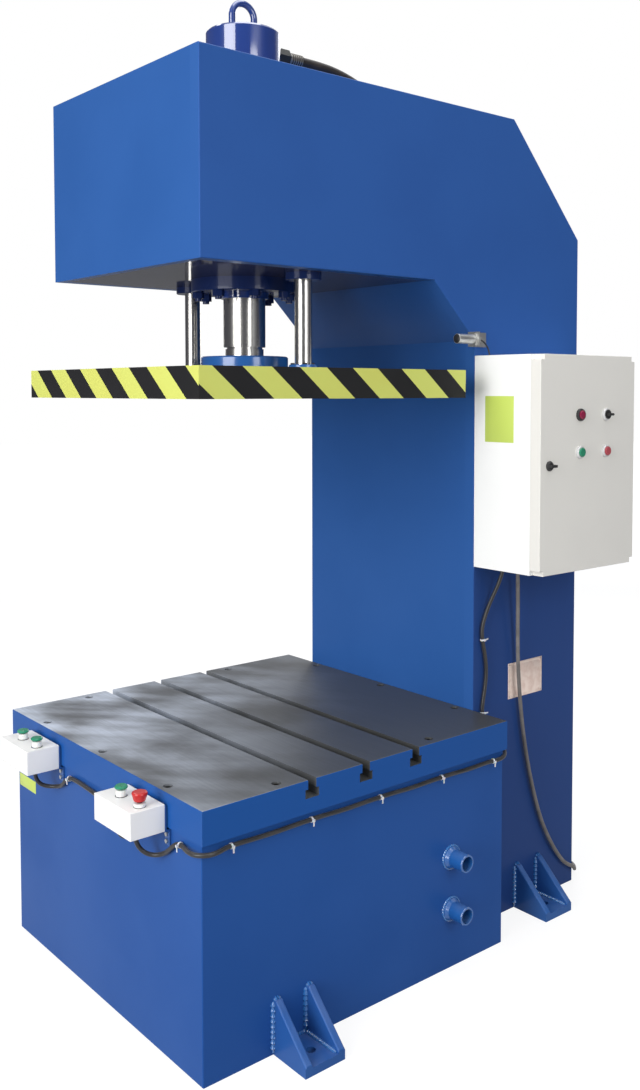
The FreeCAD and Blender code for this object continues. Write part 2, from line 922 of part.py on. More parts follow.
def build_cylinder():
    """Barrel, its flange under the head, the screwed-in end cover, guide bushes and bolts."""
    floor_low = size("head_low")
    flange_low = size("flange_low")
    outer = size("barrel_outer") / 2
    bore = size("barrel_bore") / 2
    top = size("barrel_top")
    body = new_body("cylinder_barrel")
    revolve(
        body,
        [
            (bore, flange_low),
            (outer, flange_low),
            (outer, top - 6),
            (outer - 6, top),
            (0, top),
            (0, top - size("barrel_cap")),
            (bore, top - size("barrel_cap")),
        ],
    )
    seat = sketch_on(body, "XZ_Plane", -PORT_SEAT)
    circle(seat, 0, PORT_HIGH, 27)
    pocket(body, seat, 20)
    node("cylinder_barrel", body)

    flange = size("flange_outer") / 2
    body = new_body("cylinder_flange")
    revolve(
        body,
        [
            (outer, flange_low),
            (flange - 2, flange_low),
            (flange, flange_low + 2),
            (flange, floor_low),
            (outer, floor_low),
        ],
    )
    drill(body, "XY_Plane", floor_low, stud_spots(), STUD_RADIUS + BOLT_ROOM)
    node("cylinder_flange", body)

    collar = size("collar_outer") / 2
    ram = size("ram_size") / 2 + RUNNING_GAP
    body = new_body("cylinder_end_cover")
    revolve(
        body,
        [
            (ram, size("collar_low")),
            (collar - 3, size("collar_low")),
            (collar, size("collar_low") + 3),
            (collar, flange_low),
            (bore - THREAD_GAP, flange_low),
            (bore - THREAD_GAP, flange_low + END_COVER_DEEP),
            (ram, flange_low + END_COVER_DEEP),
        ],
    )
    node("cylinder_end_cover", body)

    rod_radius = size("rod_size") / 2 + RUNNING_GAP
    bush_low = floor_low - BUSH_FLANGE
    bush = turned(
        "guide_bush",
        [
            (rod_radius, bush_low),
            (BUSH_FLANGE_RADIUS - 1, bush_low),
            (BUSH_FLANGE_RADIUS, bush_low + 1),
            (BUSH_FLANGE_RADIUS, floor_low),
            (BUSH_BODY_RADIUS, floor_low),
            (BUSH_BODY_RADIUS, floor_low + size("head_floor") + 30),
            (rod_radius, floor_low + size("head_floor") + 30),
        ],
    )
    spots = round_spots(BUSH_BOLT_CIRCLE, 4, start=45)
    room = BUSH_BOLT_RADIUS + BOLT_ROOM
    drill(bush, "XY_Plane", bush_low, spots, room, BUSH_FLANGE, backwards=True)
    drill(bush, "XY_Plane", bush_low, spots, BUSH_SEAT_RADIUS, BUSH_SEAT_DEEP, backwards=True)
    half_pitch = size("rod_pitch") / 2
    bushes = copies("guide_bush", bush, [(-half_pitch, 0, 0), (half_pitch, 0, 0)])
    node("guide_bushes", grouped("guide_bushes", bushes))
    build_head_bolts(bush_low + BUSH_SEAT_DEEP)


def round_spots(radius, count, x=0.0, start=0.0):
    """(x, y) places evenly round a circle whose centre lies on the X axis."""
    spots = []
    for step in range(count):
        angle = math.radians(start + 360 * step / count)
        spots.append((as_size(x) + radius * math.cos(angle), as_size(radius * math.sin(angle))))
    return spots


def lifted(spots, height):
    """Set (x, y) places at one height."""
    return [(x, y, height) for x, y in spots]


def stud_spots():
    """(x, y) of the studs that hold the cylinder flange."""
    return round_spots(STUD_CIRCLE, STUD_COUNT, start=22.5)


def bush_bolt_spots():
    """(x, y) of the bolts of both guide bushes."""
    spots = []
    for side in (-1, 1):
        spots += round_spots(BUSH_BOLT_CIRCLE, 4, x=size("rod_pitch") * (side / 2), start=45)
    return spots


def build_head_bolts(bush_seat):
    """Studs with nuts under the cylinder flange and the sunk screws of the guide bushes."""
    flange_low = size("flange_low")
    nut = 18
    proud = nut + 8
    reach = size("head_low") - flange_low + (proud + STUD_DEEP)
    stud = rod("flange_stud", STUD_RADIUS, reach, z=-proud)
    stud_and_nut = fused("flange_stud_and_nut", [hexagon("flange_nut", 30, nut, z=-nut), stud])
    thread = BUSH_FLANGE - BUSH_SEAT_DEEP + THREAD_DEEP - 5
    bush_screw = socket_screw("bush_screw", BUSH_BOLT_RADIUS, thread, 5, 6, 5)
    bolts = copies("flange_stud_and_nut", stud_and_nut, lifted(stud_spots(), flange_low))
    spots = lifted(bush_bolt_spots(), bush_seat)
    bolts += copies("bush_screw", bush_screw, spots, [DOWN] * len(spots))
    node("head_bolts", grouped("head_bolts", bolts))


EYE_BAR_RADIUS = 10
EYE_HALF_SPAN = 40
EYE_TOP = 2877


def build_lifting_eye():
    """U-shaped lifting eye, bent from round bar and welded on the cylinder."""
    top = size("barrel_top")
    crown = EYE_TOP - EYE_BAR_RADIUS - EYE_HALF_SPAN
    body = new_body("lifting_eye")
    section = sketch_on(body, "XY_Plane", crown)
    circle(section, 0, EYE_HALF_SPAN, EYE_BAR_RADIUS)
    bend = body.newObject("PartDesign::Revolution", "eye_bend")
    bend.Profile = section
    bend.ReferenceAxis = (section, ["H_Axis"])
    bend.Angle = 180
    DOC.recompute()
    if bend.Shape.BoundBox.ZMax < crown + EYE_HALF_SPAN:
        bend.Reversed = True
    legs = sketch_on(body, "XY_Plane", top)
    for side in (-1, 1):
        circle(legs, 0, side * EYE_HALF_SPAN, EYE_BAR_RADIUS)
    pad(body, legs, crown - top)
    node("lifting_eye", body)


HOSE_SIZE = 30
HOSE_ROUTE = [
    (0, 219, 2738),
    (0, 300, 2738),
    (0, 380, 2728),
    (0, 460, 2706),
    (0, 530, 2669),
    (0, 580, 2624),
]
FERRULE_RADIUS = 18
PORT_FLATS = 44


def build_hose():
    """Pressure hose from the cylinder's rear port down into the head."""
    top = size("head_high")
    adapter = hexagon("port_adapter", PORT_FLATS, 57, y=PORT_SEAT, z=PORT_HIGH, rotation=ALONG_Y)
    start = HOSE_ROUTE[0]
    ferrule_start = PORT_SEAT + 57
    first = rod(
        "port_ferrule",
        FERRULE_RADIUS,
        start[1] - ferrule_start,
        y=ferrule_start,
        z=PORT_HIGH,
        rotation=ALONG_Y,
    )
    end = Vector(*HOSE_ROUTE[-1])
    heading = (end - Vector(*HOSE_ROUTE[-2])).normalize()
    ferrule_length = 44
    slant = Rotation(Vector(0, 0, 1), heading)
    second = rod("end_ferrule", FERRULE_RADIUS, ferrule_length, end.x, end.y, end.z, slant)
    knee = end + heading * ferrule_length
    ball = DOC.addObject("Part::Sphere", "end_elbow")
    ball.Radius = FERRULE_RADIUS
    ball.Placement = Placement(knee, Rotation())
    foot = hexagon("end_adapter", PORT_FLATS, as_size(knee.z) - top, knee.x, knee.y, top)
    elbow = fused("hose_elbow", [second, ball, foot])
    node("hose_fittings", grouped("hose_fittings", [adapter, first, elbow]))
    hose = DOC.addObject("Part::Feature", "hydraulic_hose")
    hose.Shape = cord_shape("hydraulic_hose", HOSE_ROUTE, HOSE_SIZE)
    node("hydraulic_hose", hose)
    return knee


# ---------------------------------------------------------------- power unit


def build_power_unit(pipe_entry):
    """Oil tank, motor with pump, valve block and pipes inside the column."""
    tank_top = 520
    tank = DOC.addObject("Part::Cut", "oil_tank")
    tank.Base = block("tank_outside", -300, 300, 650, 1030, 4, tank_top)
    tank.Tool = block("tank_inside", -296, 296, 654, 1026, 8, tank_top)
    DOC.recompute()
    lid = block("tank_lid", -305, 305, 645, 1035, tank_top, tank_top + 12)
    node("oil_tank", grouped("oil_tank", [tank, lid]))

    seat = tank_top + 12
    axis = seat + 112
    motor = turned(
        "motor_shell",
        [(0, 0), (95, 0), (100, 8), (100, 232), (95, 240), (70, 240), (66, 262), (0, 262)],
        x=-200,
        y=870,
        z=axis,
        rotation=ALONG_X,
    )
    feet = block("motor_feet", -160, 0, 790, 950, seat, axis - 60)
    terminal = block("motor_terminals", -130, -20, 900, 985, axis + 30, axis + 95)
    motor_body = fused("motor_assembly", [motor, feet, terminal])
    coupling = rod("pump_coupling", 55, 48, 62, 870, axis, ALONG_X)
    pump = rod("pump_body", 62, 120, 110, 870, axis, ALONG_X)
    pump_set = fused("pump_assembly", [coupling, pump])
    node("motor_and_pump", grouped("motor_and_pump", [motor_body, pump_set]))

    block_top = seat + 150
    manifold = block("manifold", -60, 240, 630, 750, seat, block_top)
    coils = [rod("valve_coil", 22, 80, 50 * place, 690, block_top) for place in (1, 2, 3)]
    node("valve_block", grouped("valve_block", [manifold] + coils))

    pressure = Part.makeCylinder(
        14, size("head_high").value - 25 - block_top, Vector(0, pipe_entry.y + 45, block_top)
    )
    reach = size("barrel_outer").value / 2
    return_route = [
        (reach, 0, 2200),
        (200, 0, 2200),
        (200, 710, 2200),
        (200, 710, block_top),
    ]
    return_pipe = bent_pipe(return_route, 28, 60)
    pipes = DOC.addObject("Part::Feature", "oil_pipes")
    pipes.Shape = Part.makeCompound([pressure, return_pipe])
    node("oil_pipes", pipes)


def bent_pipe(points, diameter, bend):
    """Steel pipe with one bending radius at every corner."""
    points = [Vector(*point) for point in points]
    edges = []
    start = points[0]
    for before, corner, after in zip(points, points[1:], points[2:]):
        arriving = (corner - before).normalize()
        leaving = (after - corner).normalize()
        half_turn = arriving.getAngle(leaving) / 2
        tangent = bend * math.tan(half_turn)
        into = corner - arriving * tangent
        out_of = corner + leaving * tangent
        inward = (leaving - arriving).normalize()
        middle = corner + inward * (bend / math.cos(half_turn) - bend)
        edges.append(Part.LineSegment(start, into).toShape())
        edges.append(Part.Arc(into, middle, out_of).toShape())
        start = out_of
    edges.append(Part.LineSegment(start, points[-1]).toShape())
    section = Part.Circle(points[0], points[1] - points[0], diameter / 2).toShape()
    return Part.Wire(edges).makePipeShell([Part.Wire([section])], True, False)


# ---------------------------------------------------------------- slide

SPIGOT_DEEP = 40
RAM_SPIGOT_RADIUS = 40
ROD_SPIGOT_RADIUS = 18
FLANGE_RADIUS = 132
FLANGE_HIGH = 41
ROD_FOOT_RADIUS = 41.5
ROD_FOOT_HIGH = 12
FLANGE_SCREWS = 8
FLANGE_SCREW_CIRCLE = 98
FLANGE_SCREW_RADIUS = 8
FLANGE_SEAT = 23
FOOT_BOLT_CIRCLE = 33.5
FOOT_BOLT_RADIUS = 3


def foot_bolt_spots():
    """(x, y) of the bolts in the feet of both guide rods."""
    spots = []
    for side in (-1, 1):
        spots += round_spots(FOOT_BOLT_CIRCLE, 3, x=size("rod_pitch") * (side / 2), start=90)
    return spots


def build_slide():
    """Slide plate with its striped band, ram, guide rods and flanges."""
    skin = size("band_skin")
    half_x = size("slide_width") / 2
    half_y = size("slide_depth") / 2
    low = size("slide_low")
    high = size("slide_high")
    half_pitch = size("rod_pitch") / 2
    body = new_body("slide_plate")
    sketch = sketch_on(body, "XY_Plane", low)
    rectangle(sketch, -half_x + skin, half_x - skin, -half_y + skin, half_y - skin)
    pad(body, sketch, high - low)
    spigots = sketch_on(body, "XY_Plane", high)
    circle(spigots, 0, 0, RAM_SPIGOT_RADIUS + 0.1)
    for side in (-1, 1):
        circle(spigots, half_pitch * side, 0, ROD_SPIGOT_RADIUS + 0.1)
    pocket(body, spigots, SPIGOT_DEEP)
    flange_spots = round_spots(FLANGE_SCREW_CIRCLE, FLANGE_SCREWS)
    drill(body, "XY_Plane", high, flange_spots, FLANGE_SCREW_RADIUS + THREAD_GAP, THREAD_DEEP)
    drill(body, "XY_Plane", high, foot_bolt_spots(), FOOT_BOLT_RADIUS + THREAD_GAP, THREAD_DEEP / 2)
    node("slide_plate", body)

    band = bored(
        "band_frame",
        block("band_outside", -half_x, half_x, -half_y, half_y, low, high),
        block(
            "band_inside",
            -half_x + skin,
            half_x - skin,
            -half_y + skin,
            half_y - skin,
            low,
            high,
        ),
    )
    stripes = fused("all_stripes", stripe_prisms(half_x, half_y, low, high, skin))
    black = DOC.addObject("Part::Common", "hazard_stripes")
    black.Base = band
    black.Tool = stripes
    DOC.recompute()
    node("hazard_stripes", black)
    node("hazard_band", bored("hazard_band", band, stripes))

    ram = size("ram_size") / 2
    neck = size("ram_neck") / 2
    groove = neck - 4
    piston = size("barrel_bore") / 2 - RUNNING_GAP
    body = new_body("ram")
    revolve(
        body,
        [
            (0, high - SPIGOT_DEEP),
            (RAM_SPIGOT_RADIUS, high - SPIGOT_DEEP),
            (RAM_SPIGOT_RADIUS, high),
            (neck, high),
            (neck, size("groove_low")),
            (groove, size("groove_low")),
            (groove, size("groove_high")),
            (ram, size("groove_high")),
            (ram, size("piston_low")),
            (piston, size("piston_low")),
            (piston, size("piston_high")),
            (0, size("piston_high")),
        ],
    )
    node("ram", body)

    rod_radius = size("rod_size") / 2
    guide = turned(
        "guide_rod",
        [
            (0, high - SPIGOT_DEEP),
            (ROD_SPIGOT_RADIUS, high - SPIGOT_DEEP),
            (ROD_SPIGOT_RADIUS, high),
            (rod_radius, high),
            (rod_radius, size("rod_top") - 3),
            (rod_radius - 3, size("rod_top")),
            (0, size("rod_top")),
        ],
    )
    rods = copies("guide_rod", guide, [(-half_pitch, 0, 0), (half_pitch, 0, 0)])
    node("guide_rods", grouped("guide_rods", rods))
    build_slide_flanges(high, neck, rod_radius, half_pitch)


def stripe_prisms(half_x, half_y, low, high, skin):
    """Slanted black stripes, drawn on each of the four sides of the slide."""
    prisms = []
    lean = size("stripe_lean")
    sides = [
        ("front_stripes", "XZ_Plane", half_y, 1, size("front_pitch"), half_x),
        ("back_stripes", "XZ_Plane", -half_y, -1, size("front_pitch"), half_x),
        ("right_stripes", "YZ_Plane", half_x, 1, size("side_pitch"), half_y),
        ("left_stripes", "YZ_Plane", -half_x, -1, size("side_pitch"), half_y),
    ]
    for name, role, height, way, pitch, reach in sides:
        count = 1 + int(2 * reach.value / pitch.value)
        for step in range(-1, count):
            body = new_body(name)
            sketch = sketch_on(body, role, height)
            left = size("stripe_start") + pitch * step
            right = left + pitch / 2
            outline(
                sketch,
                [
                    (left * way, high),
                    (right * way, high),
                    ((right + lean) * way, low),
                    ((left + lean) * way, low),
                ],
            )
            pad(body, sketch, skin, backwards=way > 0)
            prisms.append(body)
    return prisms


def build_slide_flanges(high, neck, rod_radius, half_pitch):
    """Ram flange and rod feet on the slide, with their sunk screws."""
    ring = new_body("ram_flange")
    revolve(
        ring,
        [
            (neck + 0.1, high),
            (FLANGE_RADIUS, high),
            (FLANGE_RADIUS, high + FLANGE_HIGH - 4),
            (FLANGE_RADIUS - 4, high + FLANGE_HIGH),
            (neck + 0.1, high + FLANGE_HIGH),
        ],
    )
    face = high + FLANGE_HIGH
    flange_spots = round_spots(FLANGE_SCREW_CIRCLE, FLANGE_SCREWS)
    drill(ring, "XY_Plane", face, flange_spots, FLANGE_SCREW_RADIUS + BOLT_ROOM)
    drill(ring, "XY_Plane", face, flange_spots, 13, FLANGE_HIGH - FLANGE_SEAT)
    foot = turned(
        "rod_foot",
        [
            (rod_radius + 0.1, high),
            (ROD_FOOT_RADIUS, high),
            (ROD_FOOT_RADIUS, high + ROD_FOOT_HIGH - 2),
            (ROD_FOOT_RADIUS - 2, high + ROD_FOOT_HIGH),
            (rod_radius + 0.1, high + ROD_FOOT_HIGH),
        ],
    )
    foot_spots = round_spots(FOOT_BOLT_CIRCLE, 3, start=90)
    foot_top = high + ROD_FOOT_HIGH
    drill(foot, "XY_Plane", foot_top, foot_spots, FOOT_BOLT_RADIUS + BOLT_ROOM)
    feet = copies("rod_foot", foot, [(-half_pitch, 0, 0), (half_pitch, 0, 0)])
    node("slide_flanges", grouped("slide_flanges", [ring] + feet))

    thread = FLANGE_SEAT + THREAD_DEEP - 5
    big = socket_screw("flange_screw", FLANGE_SCREW_RADIUS, thread, 12, 16, 14)
    thread = ROD_FOOT_HIGH + THREAD_DEEP / 2 - 5
    small = hex_bolt("foot_bolt", FOOT_BOLT_RADIUS, thread, 10, 5)
    screws = copies("flange_screw", big, lifted(flange_spots, high + FLANGE_SEAT))
    screws += copies("foot_bolt", small, lifted(foot_bolt_spots(), foot_top))
    node("slide_screws", grouped("slide_screws", screws))


# ---------------------------------------------------------------- cabinet

HINGE_HEIGHTS = (1270, 1700)
HINGE_X = 633
HINGE_RADIUS = 6
HINGE_PIN_RADIUS = 3
HINGE_HALF = 30
DEVICE_HOLE = 11.3


def device_spots():
    """(y, z) of the lamp, selector, start button and stop button."""
    return {
        "lamp": (size("knob_front"), size("knob_high")),
        "selector": (size("knob_rear"), size("knob_high")),
        "start": (size("knob_front"), size("knob_low")),
        "stop": (size("knob_rear"), size("knob_low")),
    }


def build_cabinet_box():
    """Folded sheet-metal cabinet with a lip round its mouth."""
    column = size("frame_width") / 2
    front = size("throat_reach")
    back = size("cabinet_back")
    low = size("cabinet_low")
    high = size("cabinet_high")
    lip = size("cabinet_lip")
    sheet = size("sheet")
    width = size("lip_width")
    body = new_body("cabinet_box")
    sketch = sketch_on(body, "YZ_Plane", column)
    rectangle(sketch, front, back, low, high)
    pad(body, sketch, lip - column)
    mouth = sketch_on(body, "YZ_Plane", lip)
    rectangle(mouth, front + width, back - width, low + width, high - width)
    pocket(body, mouth, sheet)
    inside = sketch_on(body, "YZ_Plane", lip - sheet)
    rectangle(inside, front + sheet, back - sheet, low + sheet, high - sheet)
    pocket(body, inside, lip - sheet - column - sheet)
    node("cabinet_box", body)


def build_cabinet_door():
    """Folded door with notched corners and holes for its devices."""
    front = size("throat_reach")
    back = size("cabinet_back")
    low = size("cabinet_low")
    high = size("cabinet_high")
    sheet = size("sheet")
    notch = size("door_notch")
    start = size("cabinet_lip") + 0.5
    face = size("door_face")
    body = new_body("cabinet_door")
    sketch = sketch_on(body, "YZ_Plane", start)
    outline(
        sketch,
        [
            (front + notch, low),
            (back - notch, low),
            (back - notch, low + notch),
            (back, low + notch),
            (back, high - notch),
            (back - notch, high - notch),
            (back - notch, high),
            (front + notch, high),
            (front + notch, high - notch),
            (front, high - notch),
            (front, low + notch),
            (front + notch, low + notch),
        ],
    )
    pad(body, sketch, face - start)
    soften(body, "Fillet", lambda p: near(p.x, face), 1.5)
    hollow = sketch_on(body, "YZ_Plane", start)
    inner = notch + sheet
    rectangle(hollow, front + inner, back - inner, low + sheet, high - sheet)
    pocket(body, hollow, face - start - sheet, backwards=True)
    edges = sketch_on(body, "YZ_Plane", start)
    rectangle(edges, front + sheet, front + inner, low + inner, high - inner)
    rectangle(edges, back - inner, back - sheet, low + inner, high - inner)
    pocket(body, edges, face - start - sheet, backwards=True)
    drill(body, "YZ_Plane", face, device_spots().values(), DEVICE_HOLE, sheet)
    drill(body, "YZ_Plane", face, [(size("lock_back"), size("lock_high"))], 9, sheet)
    node("cabinet_door", body)


def build_hinges():
    """Two knuckle hinges: leaves and pins on the box, upper knuckles on the door."""
    back = size("cabinet_back")
    pin_y = size("hinge_back")
    fixed = []
    moving = []
    for height in HINGE_HEIGHTS:
        leaf = block("box_leaf", HINGE_X - 33, HINGE_X - 2, back, back + 3,
                     height - HINGE_HALF, height + HINGE_HALF)
        bridge = block("box_bridge", HINGE_X - 4, HINGE_X, back, pin_y,
                       height - HINGE_HALF, height - 0.3)
        knuckle = rod("box_knuckle", HINGE_RADIUS, HINGE_HALF - 0.3, HINGE_X, pin_y,
                      height - HINGE_HALF)
        pin = rod("hinge_pin", HINGE_PIN_RADIUS, 2 * HINGE_HALF, HINGE_X, pin_y,
                  height - HINGE_HALF)
        clear = rod("knuckle_room", HINGE_RADIUS + 0.5, HINGE_HALF + 1, HINGE_X, pin_y,
                    height - 0.3)
        leaf = bored("box_leaf_cut", leaf, clear)
        fixed.append(fused("box_hinge", [leaf, bridge, knuckle, pin]))
        plate = block("door_leaf", HINGE_X + 2, HINGE_X + 33, back, back + 3,
                      height - HINGE_HALF, height + HINGE_HALF)
        room = rod("pin_knuckle_room", HINGE_RADIUS + 0.5, HINGE_HALF + 1, HINGE_X, pin_y,
                   height - HINGE_HALF - 1)
        plate = bored("door_leaf_cut", plate, room)
        arm = block("door_bridge", HINGE_X, HINGE_X + 4, back, pin_y, height + 0.3,
                    height + HINGE_HALF)
        barrel = rod("door_knuckle", HINGE_RADIUS, HINGE_HALF - 0.3, HINGE_X, pin_y,
                     height + 0.3)
        upper = fused("door_hinge_solid", [plate, arm, barrel])
        hole = rod("pin_hole", HINGE_PIN_RADIUS + RUNNING_GAP, 2 * HINGE_HALF + 2, HINGE_X,
                   pin_y, height - HINGE_HALF - 1)
        moving.append(bored("door_hinge", upper, hole))
    node("cabinet_hinges", grouped("cabinet_hinges", fixed))
    node("door_hinge_leaves", grouped("door_hinge_leaves", moving))


RING_RADIUS = 19
RING_BORE = 14.1
RING_HIGH = 9
RING_FLOOR = 1.5
CAP_RADIUS = 14
STEM_RADIUS = 5
DOOR_TRAVEL = 4


def build_door_devices():
    """Lamp, selector and two push-buttons on the door, and the door lock."""
    face = size("door_face")
    sheet = size("sheet")
    spots = device_spots()
    ring = [
        (RING_BORE, RING_HIGH),
        (RING_RADIUS - 2, RING_HIGH),
        (RING_RADIUS, RING_HIGH - 3),
        (RING_RADIUS, 0),
        (DEVICE_HOLE - 0.2, 0),
        (DEVICE_HOLE - 0.2, -30),
        (STEM_RADIUS + RUNNING_GAP, -30),
        (STEM_RADIUS + RUNNING_GAP, RING_FLOOR),
        (RING_BORE, RING_FLOOR),
    ]
    bezel = turned("device_ring", ring)
    places = [(face, y, z) for y, z in spots.values()]
    rings = copies("device_ring", bezel, places, [ALONG_X] * len(places))
    node("door_device_rings", grouped("door_device_rings", rings))

    dome = [
        (0, RING_FLOOR),
        (CAP_RADIUS - 0.2, RING_FLOOR),
        (CAP_RADIUS - 0.2, RING_HIGH + 1),
        (CAP_RADIUS - 3, RING_HIGH + 4),
        (0, RING_HIGH + 5),
    ]
    y, z = spots["lamp"]
    node("lamp_lens", turned("lamp_lens", dome, face, y, z, ALONG_X))

    cap_low = RING_FLOOR + DOOR_TRAVEL + 0.2
    cap = [
        (0, -28),
        (STEM_RADIUS, -28),
        (STEM_RADIUS, cap_low),
        (CAP_RADIUS, cap_low),
        (CAP_RADIUS, RING_HIGH + 3),
        (CAP_RADIUS - 2, RING_HIGH + 5),
        (0, RING_HIGH + 5),
    ]
    for label, key in (("start_button", "start"), ("stop_button", "stop")):
        y, z = spots[key]
        node(label, turned(label, cap, face, y, z, ALONG_X))

    y, z = spots["selector"]
    body = new_body("selector_knob")
    revolve(
        body,
        [
            (0, -28),
            (STEM_RADIUS, -28),
            (STEM_RADIUS, RING_FLOOR + 0.3),
            (CAP_RADIUS, RING_FLOOR + 0.3),
            (CAP_RADIUS, RING_HIGH + 3),
            (0, RING_HIGH + 3),
        ],
    )
    wing = sketch_on(body, "XY_Plane", RING_HIGH + 2)
    outline(wing, [(-4, -10), (4, -10), (4, 8), (0, 13), (-4, 8)])
    pad(body, wing, 14)
    move(body, face, y, z, ALONG_X)
    node("selector_knob", body)
    build_door_lock()


def build_door_lock():
    """Quarter-turn lock: knob with a wing outside, cam behind the lip."""
    face = size("door_face").value
    lip = size("cabinet_lip").value
    shaft = face - lip
    body = new_body("door_lock")
    revolve(
        body,
        [
            (0, -shaft - 7),
            (6, -shaft - 7),
            (6, -4),
            (8.5, -4),
            (8.5, 0.3),
            (15, 0.3),
            (15, 4),
            (11, 9),
            (0, 9),
        ],
    )
    wing = sketch_on(body, "XY_Plane", 8)
    rectangle(wing, -4, 4, -13, 13)
    pad(body, wing, 14)
    cam = sketch_on(body, "XY_Plane", -shaft - 6.5)
    rectangle(cam, -6, 34, -6, 6)
    pad(body, cam, 4)
    move(body, face, size("lock_back"), size("lock_high"), ALONG_X)
    node("door_lock", body)


def build_switchgear():
    """Mounting plate with its standoffs, breaker, contactors, transformer and rail."""
    column = size("frame_width") / 2 + size("sheet")
    plate_x = column + 15
    seat = plate_x + 2.5
    pieces = [block("gear_plate", plate_x, seat, 610, 1025, 1185, 1790)]
    for y in (630, 1005):
        for z in (1205, 1770):
            pieces.append(rod("standoff", 6, 15, column, y, z, ALONG_X))
    pieces.append(block("breaker", seat, seat + 75, 640, 710, 1640, 1740))
    for index in range(3):
        front = 745 + 65 * index
        pieces.append(block("contactor", seat, seat + 80, front, front + 50, 1645, 1730))
    pieces.append(block("relay_row", seat, seat + 60, 640, 960, 1500, 1570))
    pieces.append(block("transformer", seat, seat + 85, 640, 760, 1340, 1430))
    pieces.append(block("terminal_row", seat, seat + 45, 640, 990, 1230, 1275))
    for height in (1290, 1455, 1595):
        pieces.append(block("wire_duct", seat, seat + 40, 630, 1005, height, height + 30))
    node("switchgear", grouped("switchgear", pieces))


# ---------------------------------------------------------------- control boxes

COLLAR_RADIUS = 14
COLLAR_HIGH = 17
PALM_RADIUS = 17
PALM_TRAVEL = 4
ESTOP_TRAVEL = 5
PLUNGER_RADIUS = 6


def button_places(centre):
    """(x, y) of the two buttons on a control box."""
    middle = centre + size("button_shift")
    return [
        (middle - size("button_half"), size("button_back")),
        (middle + size("button_half"), size("button_back")),
    ]


def build_control_box(label, centre):
    """Sheet-metal control box, closed below by a plate."""
    half = size("box_width") / 2
    rear = size("box_rear")
    front = rear - size("box_depth")
    low = size("box_low")
    high = size("box_high")
    sheet = size("sheet")
    body = new_body(f"{label}_shell")
    sketch = sketch_on(body, "XY_Plane", low)
    rectangle(sketch, centre - half, centre + half, front, rear)
    pad(body, sketch, high - low)
    soften(
        body,
        "Fillet",
        lambda p: near(p.z, high) or abs(abs(p.x - centre.value) - half.value) < 1e-4,
        1.5,
    )
    inside = sketch_on(body, "XY_Plane", low)
    rectangle(inside, centre - half + sheet, centre + half - sheet, front + sheet, rear - sheet)
    pocket(body, inside, high - low - sheet, backwards=True)
    drill(body, "XY_Plane", high, button_places(centre), DEVICE_HOLE, sheet)
    closing = block(
        f"{label}_floor",
        centre - half + sheet,
        centre + half - sheet,
        front + sheet,
        rear - sheet,
        low,
        low + sheet,
    )
    node(label, grouped(label, [body, closing]))


def build_control_boxes():
    """Two-hand control: three palm buttons and the emergency stop."""
    offset = size("box_offset")
    high = size("box_high")
    sheet = size("sheet")
    build_control_box("left_control_box", -offset)
    build_control_box("right_control_box", offset)

    plunger = PLUNGER_RADIUS + RUNNING_GAP
    collar = turned(
        "palm_collar",
        [
            (plunger, -30),
            (DEVICE_HOLE - 0.2, -30),
            (DEVICE_HOLE - 0.2, 0),
            (COLLAR_RADIUS, 0),
            (COLLAR_RADIUS, COLLAR_HIGH - 1),
            (COLLAR_RADIUS - 1, COLLAR_HIGH),
            (plunger, COLLAR_HIGH),
        ],
    )
    short = turned(
        "stop_collar",
        [
            (plunger, -30),
            (DEVICE_HOLE - 0.2, -30),
            (DEVICE_HOLE - 0.2, 0),
            (COLLAR_RADIUS + 1, 0),
            (COLLAR_RADIUS + 1, 9),
            (COLLAR_RADIUS - 1, 10),
            (plunger, 10),
        ],
    )
    left = button_places(-offset)
    right = button_places(offset)
    palms = left + right[:1]
    collars = copies("palm_collar", collar, [(x, y, high) for x, y in palms])
    collars += copies("stop_collar", short, [(right[1][0], right[1][1], high)])
    node("box_button_collars", grouped("box_button_collars", collars))

    lift = COLLAR_HIGH + PALM_TRAVEL + 0.3
    palm = [
        (0, -26),
        (PLUNGER_RADIUS, -26),
        (PLUNGER_RADIUS, lift),
        (PALM_RADIUS - 1, lift),
        (PALM_RADIUS, lift + 1),
        (PALM_RADIUS, lift + 4),
        (PALM_RADIUS - 3, lift + 7),
        (0, lift + 7.5),
    ]
    for label, (x, y) in zip(("outer_start_button", "middle_start_button", "inner_start_button"), palms):
        node(label, turned(label, palm, x, y, high))

    x, y = right[1]
    under = 10 + ESTOP_TRAVEL + 1
    stem = [(0, -26), (PLUNGER_RADIUS, -26), (PLUNGER_RADIUS, under + 12), (0, under + 12)]
    node("estop_stem", turned("estop_stem", stem, x, y, high))
    head = turned(
        "estop_head",
        [
            (PLUNGER_RADIUS + RUNNING_GAP, under),
            (15, under),
            (19, under + 14),
            (20, under + 18),
            (19, under + 21),
            (15, under + 23),
            (0, under + 24),
            (0, under + 12 + RUNNING_GAP),
            (PLUNGER_RADIUS + RUNNING_GAP, under + 12 + RUNNING_GAP),
        ],
        x,
        y,
        high,
    )
    node("estop_head", head)
    build_brackets()


STRAP_OFFSET = 82
STRAP_WIDTH = 22
STRAP_SHEET = 5
STRAP_BOLTS = (573, 591)
STRAP_LOW = 562
STRAP_BOLT_RADIUS = 3


def strap_places():
    """Middles of the four straps along X."""
    offset = size("box_offset")
    return [offset * box + STRAP_OFFSET * side for box in (-1, 1) for side in (-1, 1)]


def strap_bolt_spots():
    """(x, z) of the bolts that hold the straps on the base."""
    return [(place, as_size(height)) for place in strap_places() for height in STRAP_BOLTS]


